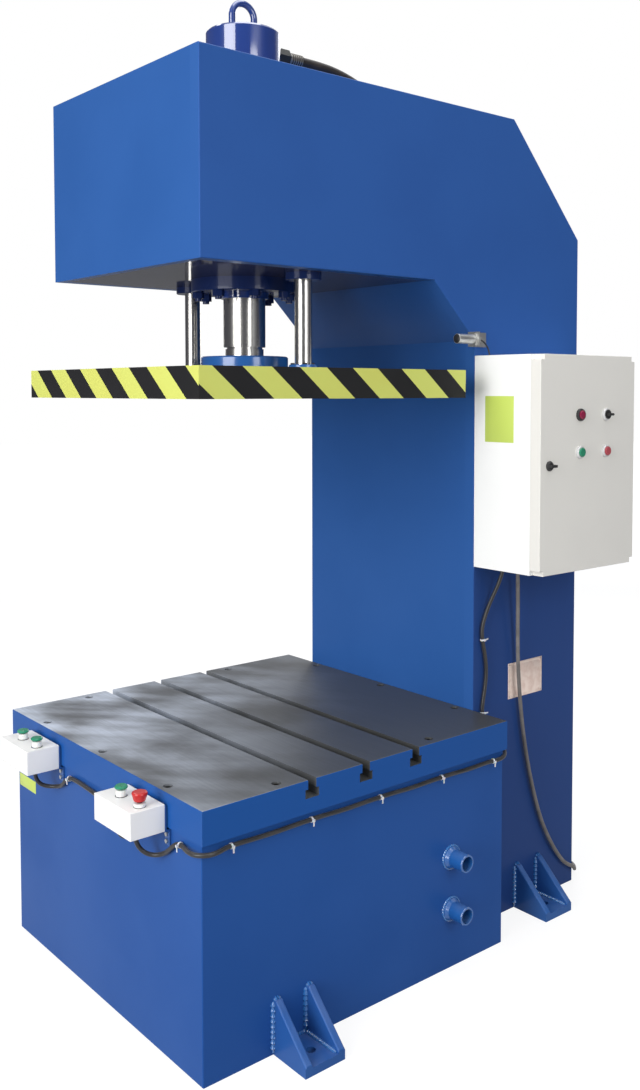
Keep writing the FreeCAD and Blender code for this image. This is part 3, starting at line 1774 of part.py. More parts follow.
def build_brackets():
    """Z-shaped straps behind the control boxes and the sensor bracket."""
    rear = size("box_rear")
    wall = -size("base_front")
    strap = new_body("box_strap")
    sketch = sketch_on(strap, "YZ_Plane", -STRAP_WIDTH / 2)
    outline(
        sketch,
        [
            (rear, 601),
            (rear, 668),
            (rear + STRAP_SHEET, 668),
            (rear + STRAP_SHEET, 606),
            (wall, 606),
            (wall, STRAP_LOW),
            (wall - STRAP_SHEET, STRAP_LOW),
            (wall - STRAP_SHEET, 601),
        ],
    )
    pad(strap, sketch, STRAP_WIDTH)
    bolt_holes = [(0, height) for height in STRAP_BOLTS]
    room = STRAP_BOLT_RADIUS + BOLT_ROOM
    drill(strap, "XZ_Plane", STRAP_SHEET - wall, bolt_holes, room, STRAP_SHEET)
    straps = copies("box_strap", strap, [(place, 0, 0) for place in strap_places()])

    column = size("frame_width") / 2
    angle = new_body("sensor_angle")
    sketch = sketch_on(angle, "XY_Plane", SENSOR_HIGH - 22)
    outline(
        sketch,
        [
            (column, 553),
            (column + 48, 553),
            (column + 48, 553 + BRACKET_SHEET),
            (column + BRACKET_SHEET, 553 + BRACKET_SHEET),
            (column + BRACKET_SHEET, 632),
            (column, 632),
        ],
    )
    pad(angle, sketch, 45)
    slot = sketch_on(angle, "YZ_Plane", column + BRACKET_SHEET)
    rectangle(slot, 590, 622, SENSOR_HIGH - 5, SENSOR_HIGH + 6)
    pocket(angle, slot, BRACKET_SHEET)
    drill(angle, "XZ_Plane", -553, [(SENSOR_X, SENSOR_HIGH)], 15.1, BRACKET_SHEET)
    node("mounting_brackets", grouped("mounting_brackets", straps + [angle]))


BRACKET_SHEET = 3
BRACKET_BOLT_RADIUS = 4
BRACKET_BOLT_Y = 606
SENSOR_X = 432
SENSOR_HIGH = 1866
SENSOR_LEAD_ROUTE = [
    (432, 568, 1866),
    (432, 580, 1865.5),
    (432.4, 592, 1862),
    (433.2, 603.7, 1854.5),
    (434.2, 612.6, 1844),
    (435.2, 618.4, 1831.5),
    (436, 621, 1818),
]


def build_sensor():
    """Proximity sensor that watches the slide's rear edge, with its two nuts."""
    barrel = turned(
        "sensor_barrel",
        [(0, 0), (14, 0), (15, 1), (15, 90), (9, 94), (2.8, 94), (2.8, 88), (0, 88)],
        SENSOR_X,
        478,
        SENSOR_HIGH,
        ALONG_Y,
    )
    nuts = []
    for y in (547, 556):
        nut = hexagon("sensor_nut", 36, 6, SENSOR_X, y, SENSOR_HIGH, ALONG_Y)
        hole = rod("sensor_nut_hole", 15.05, 6, SENSOR_X, y, SENSOR_HIGH, ALONG_Y)
        nuts.append(bored("sensor_nut_ring", nut, hole))
    node("slide_sensor", grouped("slide_sensor", [barrel] + nuts))


def build_frame_bolts():
    """Hexagon bolts of the rear cover, box straps and sensor bracket."""
    cover_thread = COVER_PLATE + THREAD_DEEP / 2
    cover_bolt = hex_bolt("cover_hex_bolt", COVER_BOLT_RADIUS, cover_thread, 16, 7)
    face = size("column_rear") + COVER_PLATE
    spots = [(x, face, z) for x, z in cover_bolt_spots()]
    bolts = copies("cover_hex_bolt", cover_bolt, spots, [ALONG_Y] * len(spots))
    strap_thread = STRAP_SHEET + THREAD_DEEP / 2 - 3
    strap_bolt = hex_bolt("strap_bolt", STRAP_BOLT_RADIUS, strap_thread, 10, 5)
    face = -size("base_front") - STRAP_SHEET
    spots = [(x, face, z) for x, z in strap_bolt_spots()]
    bolts += copies("strap_bolt", strap_bolt, spots, [ALONG_MINUS_Y] * len(spots))
    bracket_thread = BRACKET_SHEET + THREAD_DEEP - 5
    bracket_bolt = hex_bolt("bracket_bolt", BRACKET_BOLT_RADIUS, bracket_thread, 17, 7)
    face = size("frame_width") / 2 + BRACKET_SHEET
    spot = (face, BRACKET_BOLT_Y, SENSOR_HIGH)
    bolts += copies("bracket_bolt", bracket_bolt, [spot], [ALONG_X])
    node("frame_bolts", grouped("frame_bolts", bolts))


# ---------------------------------------------------------------- cables

CONTROL_CABLE = 12
LEAD_CABLE = 5
SUPPLY_CABLE = 13
LEFT_GLAND = (-262, -572)
LINK_GLAND = (232, -572)
RIGHT_GLAND = (322, -572)
CABINET_CONTROL_GLAND = (450, 672)
CABINET_SUPPLY_GLAND = (450, 745)
GLAND_HIGH = 18
REAR_GLAND = (257, 30)
LINK_ROUTE = [
    (-262, -572, 585),
    (-263.3, -568.5, 566.9),
    (-261.3, -557.9, 551.4),
    (-255.8, -542.3, 542),
    (-244.8, -526.7, 539.6),
    (-228.7, -516.4, 541.9),
    (-210.5, -514.2, 548.5),
    (-194, -515.5, 559),
    (-180, -516.5, 571.5),
    (-164, -515.5, 582.5),
    (-144, -514.2, 588.5),
    (-115, -514.2, 590),
    (-75, -514.2, 589),
    (-31, -514.2, 587),
    (15, -514.2, 584),
    (55, -514.2, 580),
    (90, -514.2, 573.5),
    (118, -514.2, 566.5),
    (141, -514.2, 560.5),
    (161, -514.2, 554.5),
    (180.5, -514.2, 548),
    (198.7, -516.4, 541.9),
    (214.8, -526.7, 539.6),
    (225.8, -542.3, 542),
    (231.3, -557.9, 551.4),
    (233.3, -568.5, 566.9),
    (232, -572, 585),
]
MAIN_ROUTE = [
    (322, -572, 585),
    (324.5, -566.2, 563.8),
    (326.4, -556.6, 546.6),
    (334.7, -544.2, 534.7),
    (346.6, -530.2, 530.4),
    (361.6, -519.1, 533.5),
    (377.4, -514.2, 542.1),
    (393, -514.2, 553.5),
    (407, -514.2, 565),
    (421, -514.2, 576),
    (439, -514.2, 584.5),
    (460, -514.8, 586.5),
    (479, -518.5, 585),
    (498, -521.5, 584.5),
    (518, -520.5, 585),
    (538.5, -509, 586),
    (550, -488, 586.5),
    (549, -463.5, 587.5),
    (540.5, -440, 588),
    (540, -410, 588.5),
    (540, -355, 587),
    (540, -300, 586),
    (540, -215, 588),
    (540, -130, 588.2),
    (540, -60, 585.4),
    (540, 25, 587.5),
    (540, 115, 587.3),
    (540, 190, 584.2),
    (540, 265, 586.4),
    (540, 355, 586.4),
    (540, 425, 583.8),
    (540, 475, 585.2),
    (540.4, 516, 586),
    (545, 543, 585.5),
    (545, 567, 586.5),
    (537, 589, 589.5),
    (522, 607, 594),
    (503, 618, 601),
    (481, 623, 609),
    (460, 621, 620),
    (443, 618, 635),
    (429, 616, 655),
    (421, 615, 677),
    (417.5, 616, 700),
    (417.5, 621, 730),
    (417.5, 630, 770),
    (417.5, 635, 815),
    (417.5, 631, 862),
    (417.5, 620, 905),
    (417.5, 613, 940),
    (417.5, 616, 968),
    (419, 627, 998),
    (422, 638, 1026),
    (428, 649, 1054),
    (436, 659, 1082),
    (444, 667, 1110),
    (450, 672, 1139),
]
SUPPLY_ROUTE = [
    (450, 745, 1139),
    (449, 747, 1085),
    (441, 758, 1015),
    (432, 768, 930),
    (427, 776, 830),
    (424, 788, 727),
    (422, 805, 616),
    (421, 829, 503),
    (420.5, 862, 388),
    (420, 904.5, 273.2),
    (422.4, 946.4, 195),
    (422.7, 984.8, 139.4),
    (421.3, 1014.7, 105.6),
    (423.3, 1036.3, 83.1),
    (431.6, 1074.1, 62.6),
    (411.2, 1103.9, 38),
    (391.7, 1126.6, 31.5),
    (375.8, 1149.6, 20),
    (358.5, 1166.4, 16.9),
    (336.2, 1177.3, 17.1),
    (313.2, 1179.7, 20.2),
    (291.2, 1173.4, 23),
    (271.6, 1158.3, 26.6),
    (259.5, 1136.2, 29.3),
    (257, 1112, 30),
]


def build_cables():
    """Clipped control cables, the sensor's lead and the hanging supply cable."""
    shapes = [
        cord_shape("link_cable", LINK_ROUTE, CONTROL_CABLE),
        cord_shape("main_control_cable", MAIN_ROUTE, CONTROL_CABLE),
        cord_shape("sensor_lead", SENSOR_LEAD_ROUTE, LEAD_CABLE),
    ]
    cables = DOC.addObject("Part::Feature", "control_cables")
    cables.Shape = Part.makeCompound(shapes)
    node("control_cables", cables)
    supply = DOC.addObject("Part::Feature", "supply_cable")
    supply.Shape = cord_shape("supply_cable", SUPPLY_ROUTE, SUPPLY_CABLE)
    node("supply_cable", supply)
    build_glands()
    build_cable_ties()


def build_glands():
    """Screwed cable glands under the boxes and cabinet and on the back."""
    def gland(name, cable_radius):
        hole = as_size(cable_radius + 0.3)
        return turned(
            name,
            [
                (hole, 0),
                (13, 0),
                (13, 7),
                (11, 7),
                (11, GLAND_HIGH - 3),
                (9, GLAND_HIGH),
                (hole, GLAND_HIGH),
            ],
        )

    control = gland("control_gland", CONTROL_CABLE / 2)
    supply = gland("supply_gland", SUPPLY_CABLE / 2)
    box_low = size("box_low")
    cabinet_low = size("cabinet_low")
    spots = [(x, y, box_low) for x, y in (LEFT_GLAND, LINK_GLAND, RIGHT_GLAND)]
    spots.append((CABINET_CONTROL_GLAND[0], CABINET_CONTROL_GLAND[1], cabinet_low))
    glands = copies("control_gland", control, spots, [DOWN] * len(spots))
    glands += copies(
        "supply_gland",
        supply,
        [
            (CABINET_SUPPLY_GLAND[0], CABINET_SUPPLY_GLAND[1], cabinet_low),
            (REAR_GLAND[0], size("column_rear"), REAR_GLAND[1]),
        ],
        [DOWN, ALONG_Y],
    )
    node("cable_glands", grouped("cable_glands", glands))


TIE_BAND = 1.5
FRONT_SIDE = (0, -1, 0)
RIGHT_SIDE = (1, 0, 0)
TIED_RUNS = [
    (LINK_ROUTE, (-164, -515.5, 582.5), FRONT_SIDE),
    (MAIN_ROUTE, (439, -514.2, 584.5), FRONT_SIDE),
    (MAIN_ROUTE, (540.5, -440, 588), RIGHT_SIDE),
    (MAIN_ROUTE, (540, -215, 588), RIGHT_SIDE),
    (MAIN_ROUTE, (540, 25, 587.5), RIGHT_SIDE),
    (MAIN_ROUTE, (540, 265, 586.4), RIGHT_SIDE),
    (MAIN_ROUTE, (540.4, 516, 586), RIGHT_SIDE),
    (MAIN_ROUTE, (421, 615, 677), RIGHT_SIDE),
    (MAIN_ROUTE, (417.5, 620, 905), RIGHT_SIDE),
]


def tie_spot(route, start, side):
    """Placement in the middle of the run that begins at a route point."""
    index = route.index(start)
    before = Vector(*route[index])
    after = Vector(*route[index + 1])
    axis = (after - before).normalize()
    across = axis.cross(Vector(*side)).normalize()
    outward = across.cross(axis)
    return Placement((before + after) * 0.5, Rotation(outward, across, axis, "ZXY"))


def build_cable_ties():
    """White cable ties: band, lock and trimmed tail round the control cable."""
    inner = CONTROL_CABLE / 2 + 0.3
    outer = inner + TIE_BAND
    band = turned("tie_band", [(inner, -2.5), (outer, -2.5), (outer, 2.5), (inner, 2.5)])
    ties = []
    for route, start, side in TIED_RUNS:
        spot = tie_spot(route, start, side)
        link = DOC.addObject("App::Link", "tie_band_copy")
        link.LinkedObject = band
        link.Placement = spot
        ties.append(link)
        lock = DOC.addObject("Part::Box", "tie_lock")
        lock.Length, lock.Width, lock.Height = 5, 6, 6
        lock.Placement = spot.multiply(Placement(Vector(outer, -3, -3), Rotation()))
        tail = DOC.addObject("Part::Box", "tie_tail")
        tail.Length, tail.Width, tail.Height = 1.4, 12, 4
        tail.Placement = spot.multiply(Placement(Vector(outer + 2, 3, -2), Rotation()))
        ties.append(fused("tie_lock_and_tail", [lock, tail]))
    node("cable_ties", grouped("cable_ties", ties))


# ---------------------------------------------------------------- whole press


def check_and_export():
    """Stop on any failed object, then write one file for each node."""
    DOC.recompute()
    for thing in DOC.Objects:
        if "Invalid" in thing.State or "Error" in thing.State:
            raise RuntimeError(f"{thing.Label} failed: {thing.State}")
    os.makedirs("parts", exist_ok=True)
    for label, thing in NODES.items():
        shape = thing.Shape
        if shape.isNull() or not shape.isValid():
            raise RuntimeError(f"{label} has no valid shape")
        shape.exportStep(f"parts/{label}.step")
        box = shape.BoundBox
        print(
            f"{label}: {len(shape.Solids)} solids, {shape.Volume / 1e6:.3f} dm3, "
            f"x {box.XMin:.0f}..{box.XMax:.0f} y {box.YMin:.0f}..{box.YMax:.0f} "
            f"z {box.ZMin:.0f}..{box.ZMax:.0f}"
        )
    print(f"{len(NODES)} nodes")


def main():
    """Build every sub-assembly of the press and write its pieces."""
    fill_sheet()
    build_side_plates()
    build_cross_plates()
    build_rear_cover()
    build_base_box()
    build_worktable()
    build_table_screws()
    build_pipe_sockets()
    build_anchor_feet()
    build_cylinder()
    build_lifting_eye()
    pipe_entry = build_hose()
    build_power_unit(pipe_entry)
    build_slide()
    build_cabinet_box()
    build_cabinet_door()
    build_hinges()
    build_door_devices()
    build_switchgear()
    build_control_boxes()
    build_sensor()
    build_frame_bolts()
    build_cables()
    check_and_export()


main()
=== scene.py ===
"""Looks of a C-frame hydraulic press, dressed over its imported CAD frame."""

import json
import logging
import math
from dataclasses import dataclass
from enum import Enum
from functools import cache, reduce

import bmesh
import bpy
from mathutils import Matrix, Vector

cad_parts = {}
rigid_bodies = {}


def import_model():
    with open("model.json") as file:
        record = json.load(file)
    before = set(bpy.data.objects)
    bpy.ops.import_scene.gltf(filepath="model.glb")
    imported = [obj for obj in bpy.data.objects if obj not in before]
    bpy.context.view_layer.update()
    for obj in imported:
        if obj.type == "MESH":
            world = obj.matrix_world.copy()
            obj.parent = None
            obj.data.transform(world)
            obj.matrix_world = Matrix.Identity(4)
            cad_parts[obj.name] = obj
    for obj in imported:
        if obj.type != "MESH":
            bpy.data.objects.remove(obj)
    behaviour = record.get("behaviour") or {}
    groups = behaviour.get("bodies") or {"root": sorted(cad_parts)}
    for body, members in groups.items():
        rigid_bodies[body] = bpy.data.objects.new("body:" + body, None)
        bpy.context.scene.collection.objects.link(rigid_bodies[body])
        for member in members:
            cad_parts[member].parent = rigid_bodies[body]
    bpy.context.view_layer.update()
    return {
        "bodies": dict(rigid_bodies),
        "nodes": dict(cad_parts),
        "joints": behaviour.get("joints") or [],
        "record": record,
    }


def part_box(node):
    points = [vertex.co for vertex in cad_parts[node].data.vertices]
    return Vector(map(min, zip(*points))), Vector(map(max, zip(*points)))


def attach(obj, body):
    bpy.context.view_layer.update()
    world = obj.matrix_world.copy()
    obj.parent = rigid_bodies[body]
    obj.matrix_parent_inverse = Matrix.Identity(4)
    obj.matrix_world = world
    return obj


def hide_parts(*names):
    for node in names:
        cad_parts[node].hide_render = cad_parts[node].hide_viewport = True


Colour = tuple[float, float, float]
Point = tuple[float, float, float]
Outline = tuple[tuple[float, float], ...]
Socket = bpy.types.NodeSocket
Material = bpy.types.Material
Mesh = bmesh.types.BMesh

log = logging.getLogger("press")


class Heading(Enum):
    """Direction in which a surface was ground, as stretch factors of its marks."""

    ALONG_X = (1.0, 26.0, 26.0)
    ROUND_Z = (2.0, 2.0, 90.0)


class Bench:
    """Lays out the nodes of one shader tree."""

    def __init__(self, tree: bpy.types.NodeTree) -> None:
        """Keep the tree that the nodes go into."""
        self.tree = tree

    def feed(self, socket: Socket, value: object) -> None:
        """Link an input socket or set its constant.

        Args:
            socket: the input.
            value: an output socket, a number, a vector, or a colour without its alpha.
        """
        if isinstance(value, Socket):
            self.tree.links.new(value, socket)
        elif socket.type == "RGBA":
            socket.default_value = (*value, 1.0)
        else:
            socket.default_value = value

    def add(self, kind: str, sockets: dict | None = None, **settings: object) -> bpy.types.Node:
        """Add a shader node.

        Args:
            kind: Blender's name of the node type, without ShaderNode.
            sockets: what the node's inputs get, by name or index.
            settings: the node's own properties.

        Returns:
            The new node.
        """
        node = self.tree.nodes.new(f"ShaderNode{kind}")
        for name, value in settings.items():
            setattr(node, name, value)
        for key, value in (sockets or {}).items():
            self.feed(node.inputs[key], value)
        return node

    def maths(self, operation: str, first: object, second: object, clamp: bool = True) -> Socket:
        """Result of an operation on two values, kept between 0 and 1 where clamp is set."""
        return self.add("Math", {0: first, 1: second}, operation=operation, use_clamp=clamp).outputs[0]

    def times(self, first: object, second: object) -> Socket:
        """Product of two values, kept between 0 and 1."""
        return self.maths("MULTIPLY", first, second)

    def noise(self, vector: Socket, scale: object, detail: float) -> Socket:
        """Value of a noise texture."""
        return self.add("TexNoise", {"Vector": vector, "Scale": scale, "Detail": detail}).outputs[0]

    def part(self, vector: Socket, axis: int) -> Socket:
        """One component of a vector: 0 is X, 2 is Z."""
        return self.add("SeparateXYZ", {0: vector}).outputs[axis]

    def lean(self, vector: Socket, direction: Point) -> Socket:
        """How far a vector reaches along a direction."""
        return self.add("VectorMath", {0: vector, 1: direction}, operation="DOT_PRODUCT").outputs["Value"]

    def within(self, vector: Socket, low: Point, high: Point) -> Socket:
        """Test whether a vector lies between two corners.

        Args:
            vector: the vector.
            low: the lowest corner.
            high: the highest corner.

        Returns:
            A mask that is 1 inside.
        """
        split = self.add("SeparateXYZ", {0: vector})
        tests = [
            self.maths(operation, value, limit)
            for value, *limits in zip(split.outputs, low, high)
            for operation, limit in zip(("GREATER_THAN", "LESS_THAN"), limits)
        ]
        return reduce(self.times, tests)

    def ramp(self, value: Socket, low: float, high: float) -> Socket:
        """Stretch a value smoothly so that low becomes 0 and high becomes 1."""
        limits = {"Value": value, "From Min": low, "From Max": high}
        return self.add("MapRange", limits, interpolation_type="SMOOTHSTEP").outputs[0]

    def blend(self, mask: object, first: object, second: object) -> Socket:
        """Mix two colours by a mask."""
        return self.add("Mix", {0: mask, 6: first, 7: second}, data_type="RGBA").outputs[2]

    def place(self, stretch: Point = (1.0, 1.0, 1.0), turn: float = 0.0) -> Socket:
        """Read the object coordinates.

        Args:
            stretch: factors along the axes, used after the turn.
            turn: angle about Z in degrees.

        Returns:
            The vector.
        """
        place = self.add("TexCoord").outputs["Object"]
        if turn:
            place = self.add("VectorRotate", {"Vector": place, "Angle": math.radians(-turn)}).outputs[0]
        return self.add("Mapping", {"Vector": place, "Scale": stretch}).outputs[0]


class Effect(Bench):
    """A shader node group that several materials share; its first input is a vector."""

    def __init__(self, name: str, outputs: tuple[str, ...], **values: float) -> None:
        """Start the group.

        Args:
            name: its name.
            outputs: names of the values that it puts out.
            values: its inputs besides the vector, with their defaults.
        """
        super().__init__(bpy.data.node_groups.new(name, "ShaderNodeTree"))
        self.socket("Vector", "INPUT", "Vector")
        for title, default in values.items():
            self.socket(title, "INPUT").default_value = default
        for title in outputs:
            self.socket(title, "OUTPUT")
        self.given = self.tree.nodes.new("NodeGroupInput").outputs
        self.results = self.tree.nodes.new("NodeGroupOutput").inputs

    def socket(self, title: str, way: str, kind: str = "Float") -> bpy.types.NodeTreeInterfaceSocket:
        """Add an input or output."""
        return self.tree.interface.new_socket(name=title, in_out=way, socket_type=f"NodeSocket{kind}")

    def put_out(self, *values: Socket) -> bpy.types.NodeTree:
        """Link the results.

        Args:
            values: the results in the order of the outputs.

        Returns:
            The finished group.
        """
        for value, socket in zip(values, self.results):
            self.feed(socket, value)
        return self.tree


@cache
def sprayed_surface() -> bpy.types.NodeTree:
    """Fine dimples over slow waves, as a height.

    Returns:
        The group, made on first use, as are the next three.
    """
    group = Effect("sprayed_surface", ("Height",), Scale=90.0)
    vector, scale = group.given[:2]
    fine_share, slow_share, slow_scale = 0.25, 0.7, 3.0
    fine = group.times(group.noise(vector, scale, detail=2.0), fine_share)
    slow = group.times(group.noise(vector, slow_scale, detail=1.0), slow_share)
    return group.put_out(group.maths("ADD", fine, slow))


@cache
def cloudy_patches() -> bpy.types.NodeTree:
    """Cloudy patches, as a mask that an amount scales.

    Returns:
        The group.
    """
    group = Effect("cloudy_patches", ("Mask",), Scale=3.0, Amount=1.0)
    vector, scale, amount = group.given[:3]
    mask = group.ramp(group.noise(vector, scale, detail=5.0), low=0.38, high=0.68)
    return group.put_out(group.times(mask, amount))


@cache
def ground_marks() -> bpy.types.NodeTree:
    """Long marks of a grinding wheel, as a mask and a height; the vector comes stretched.

    Returns:
        The group.
    """
    group = Effect("ground_marks", ("Mask", "Height"), Scale=6.0)
    vector, scale = group.given[:2]
    finer = 9.0
    broad = group.noise(vector, scale, detail=6.0)
    thin = group.noise(vector, group.maths("MULTIPLY", scale, finer, clamp=False), detail=3.0)
    return group.put_out(group.ramp(broad, low=0.36, high=0.66), group.times(thin, broad))


@cache
def settled_dust() -> bpy.types.NodeTree:
    """Dust that settles on faces turned upwards, as a mask.

    Returns:
        The group.
    """
    group = Effect("settled_dust", ("Mask",), Amount=0.2)
    vector, amount = group.given[:2]
    upward = group.ramp(group.part(group.add("NewGeometry").outputs["Normal"], 2), low=0.2, high=1.0)
    drifts = group.ramp(group.noise(vector, scale=11.0, detail=6.0), low=0.3, high=0.7)
    return group.put_out(group.times(group.times(upward, drifts), amount))


class Shader(Bench):
    """A material with one Principled BSDF and the shared effects."""

    def __init__(self, name: str) -> None:
        """Start the material.

        Args:
            name: its name.
        """
        self.material = bpy.data.materials.new(name)
        self.material.use_nodes = True
        super().__init__(self.material.node_tree)
        self.surface = self.tree.nodes["Principled BSDF"].inputs

    def effect(self, group: bpy.types.NodeTree, **sockets: object) -> bpy.types.NodeOutputs:
        """Place a shared group and return what it puts out."""
        return self.add("Group", sockets, node_tree=group).outputs

    def clouds(self, vector: Socket, scale: float, amount: float = 1.0) -> Socket:
        """Mask of cloudy patches."""
        return self.effect(cloudy_patches(), Vector=vector, Scale=scale, Amount=amount)[0]

    def marks(self, heading: Heading, scale: float) -> bpy.types.NodeOutputs:
        """Mask and height of ground marks."""
        return self.effect(ground_marks(), Vector=self.place(heading.value), Scale=scale)

    def dusted(self, vector: Socket, amount: float, body: Socket, dust: Colour) -> None:
        """Give the surface its colour, with dust of another colour settled on it."""
        mask = self.effect(settled_dust(), Vector=vector, Amount=amount)[0]
        self.give(Base_Color=self.blend(mask, body, dust))

    def grain(self, vector: Socket, scale: float, depth: float, strength: float) -> None:
        """Raise the surface by the grain of a sprayed or moulded skin."""
        self.bump(self.effect(sprayed_surface(), Vector=vector, Scale=scale)[0], depth, strength)

    def give(self, **values: object) -> None:
        """Feed the shader's own sockets; underscores stand for spaces."""
        for name, value in values.items():
            self.feed(self.surface[name.replace("_", " ")], value)

    def vary(self, socket: str, mask: Socket, low: float, high: float) -> None:
        """Let a socket run from low to high with a mask."""
        limits = {"Value": mask, "To Min": low, "To Max": high}
        self.give(**{socket: self.add("MapRange", limits).outputs[0]})

    def bump(self, height: Socket, depth: float, strength: float) -> None:
        """Raise the surface by a height, in metres at full strength."""
        raised = {"Height": height, "Distance": depth, "Strength": strength}
        self.give(Normal=self.add("Bump", raised).outputs[0])


@dataclass(frozen=True)
class Paint:
    """Sprayed paint with clouding, dust on top and orange peel.

    Foot is a painted shade: a darker colour near the floor, below foot_heights. Skin is how far out along X
    the plate's own face lies; what is further in has the frame's blue.
    """

    name: str
    colour: Colour
    deep: Colour
    roughness: float = 0.34
    coat: float = 0.0
    specular: float = 0.10
    peel: float = 0.0006
    peel_scale: float = 90.0
    dust: float = 0.12
    dust_colour: Colour = (0.42, 0.43, 0.45)
    foot: Colour | None = None
    foot_heights: tuple[float, float] = (1.45, 1.05)
    coat_index: float = 1.5
    coat_roughness: float = 0.06
    skin: float | None = None
    skin_ends: tuple[float, float] = (0.002, 0.001)
    clouding: float = 2.2
    spread: float = 0.08
    relief: float = 0.35

    def material(self) -> Material:
        """Build the paint.

        Returns:
            Its material.
        """
        shader = Shader(self.name)
        place = shader.place()
        cloud = shader.clouds(place, self.clouding)
        body = shader.blend(cloud, self.colour, self.deep)
        # Painted shade: below foot_heights the colour runs darker towards foot.
        if self.foot:
            body = shader.blend(shader.ramp(shader.part(place, 2), *self.foot_heights), body, self.foot)
        # The skin mask keeps a lighter painted-light colour on the plate's outer face alone; faces further in
        # keep the frame's blue.
        if self.skin:
            ends = [self.skin - depth for depth in self.skin_ends]
            body = shader.blend(shader.ramp(shader.part(place, 0), *ends), BLUE, body)
        shader.dusted(place, self.dust, body, self.dust_colour)
        shader.vary("Roughness", cloud, self.roughness, self.roughness + self.spread)
        shader.give(Coat_Weight=self.coat, Coat_Roughness=self.coat_roughness, Coat_IOR=self.coat_index)
        shader.give(Specular_IOR_Level=self.specular)
        shader.grain(place, self.peel_scale, self.peel, self.relief)
        return shader.material


@dataclass(frozen=True)
class Steel:
    """Bare metal with the marks of its tool."""

    name: str
    colour: Colour
    stain: Colour
    heading: Heading = Heading.ROUND_Z
    roughness: float = 0.25
    spread: float = 0.15
    depth: float = 0.0002
    scale: float = 6.0
    clouding: tuple[float, float] = (9.0, 0.6)
    relief: float = 0.4

    def material(self) -> Material:
        """Build the metal.

        Returns:
            Its material.
        """
        shader = Shader(self.name)
        marks = shader.marks(self.heading, self.scale)
        mask = shader.times(marks[0], shader.clouds(shader.place(), *self.clouding))
        shader.give(Base_Color=shader.blend(mask, self.colour, self.stain), Metallic=1.0)
        shader.vary("Roughness", marks[0], self.roughness, self.roughness + self.spread)
        if self.depth:
            shader.bump(marks[1], self.depth, self.relief)
        return shader.material


@dataclass(frozen=True)
class Plating:
    """Zinc or black-oxide finish on small parts."""

    name: str
    colour: Colour
    stain: Colour
    roughness: float = 0.35
    spread: float = 0.2
    metal: float = 0.9
    clouding: tuple[float, float] = (40.0, 0.8)
    grain: tuple[float, float, float] = (700.0, 0.0002, 0.4)

    def material(self) -> Material:
        """Build the plating.

        Returns:
            Its material.
        """
        shader = Shader(self.name)
        place = shader.place()
        cloud = shader.clouds(place, *self.clouding)
        shader.give(Base_Color=shader.blend(cloud, self.colour, self.stain), Metallic=self.metal)
        shader.vary("Roughness", cloud, self.roughness, self.roughness + self.spread)
        shader.grain(place, *self.grain)
        return shader.material


@dataclass(frozen=True)
class Plastic:
    """Moulded plastic or rubber with a fine grain and rubbed patches."""

    name: str
    colour: Colour
    rubbed: Colour
    roughness: float = 0.4
    grain: float = 0.00015
    grain_scale: float = 900.0
    sheen: float = 0.0
    glow: float = 0.0
    glow_depth: float = 0.002
    dust: float = 0.1
    dust_colour: Colour = (0.4, 0.38, 0.35)
    spread: float = 0.15
    clouding: tuple[float, float] = (25.0, 0.7)
    relief: float = 0.5

    def material(self) -> Material:
        """Build the plastic.

        Returns:
            Its material.
        """
        shader = Shader(self.name)
        place = shader.place()
        cloud = shader.clouds(place, *self.clouding)
        shader.dusted(place, self.dust, shader.blend(cloud, self.colour, self.rubbed), self.dust_colour)
        shader.vary("Roughness", cloud, self.roughness, self.roughness + self.spread)
        shader.give(Sheen_Weight=self.sheen, Subsurface_Weight=self.glow, Subsurface_Scale=self.glow_depth)
        shader.grain(place, self.grain_scale, self.grain, self.relief)
        return shader.material


def grey(level: float) -> Colour:
    """One level on all three channels."""
    return (level, level, level)


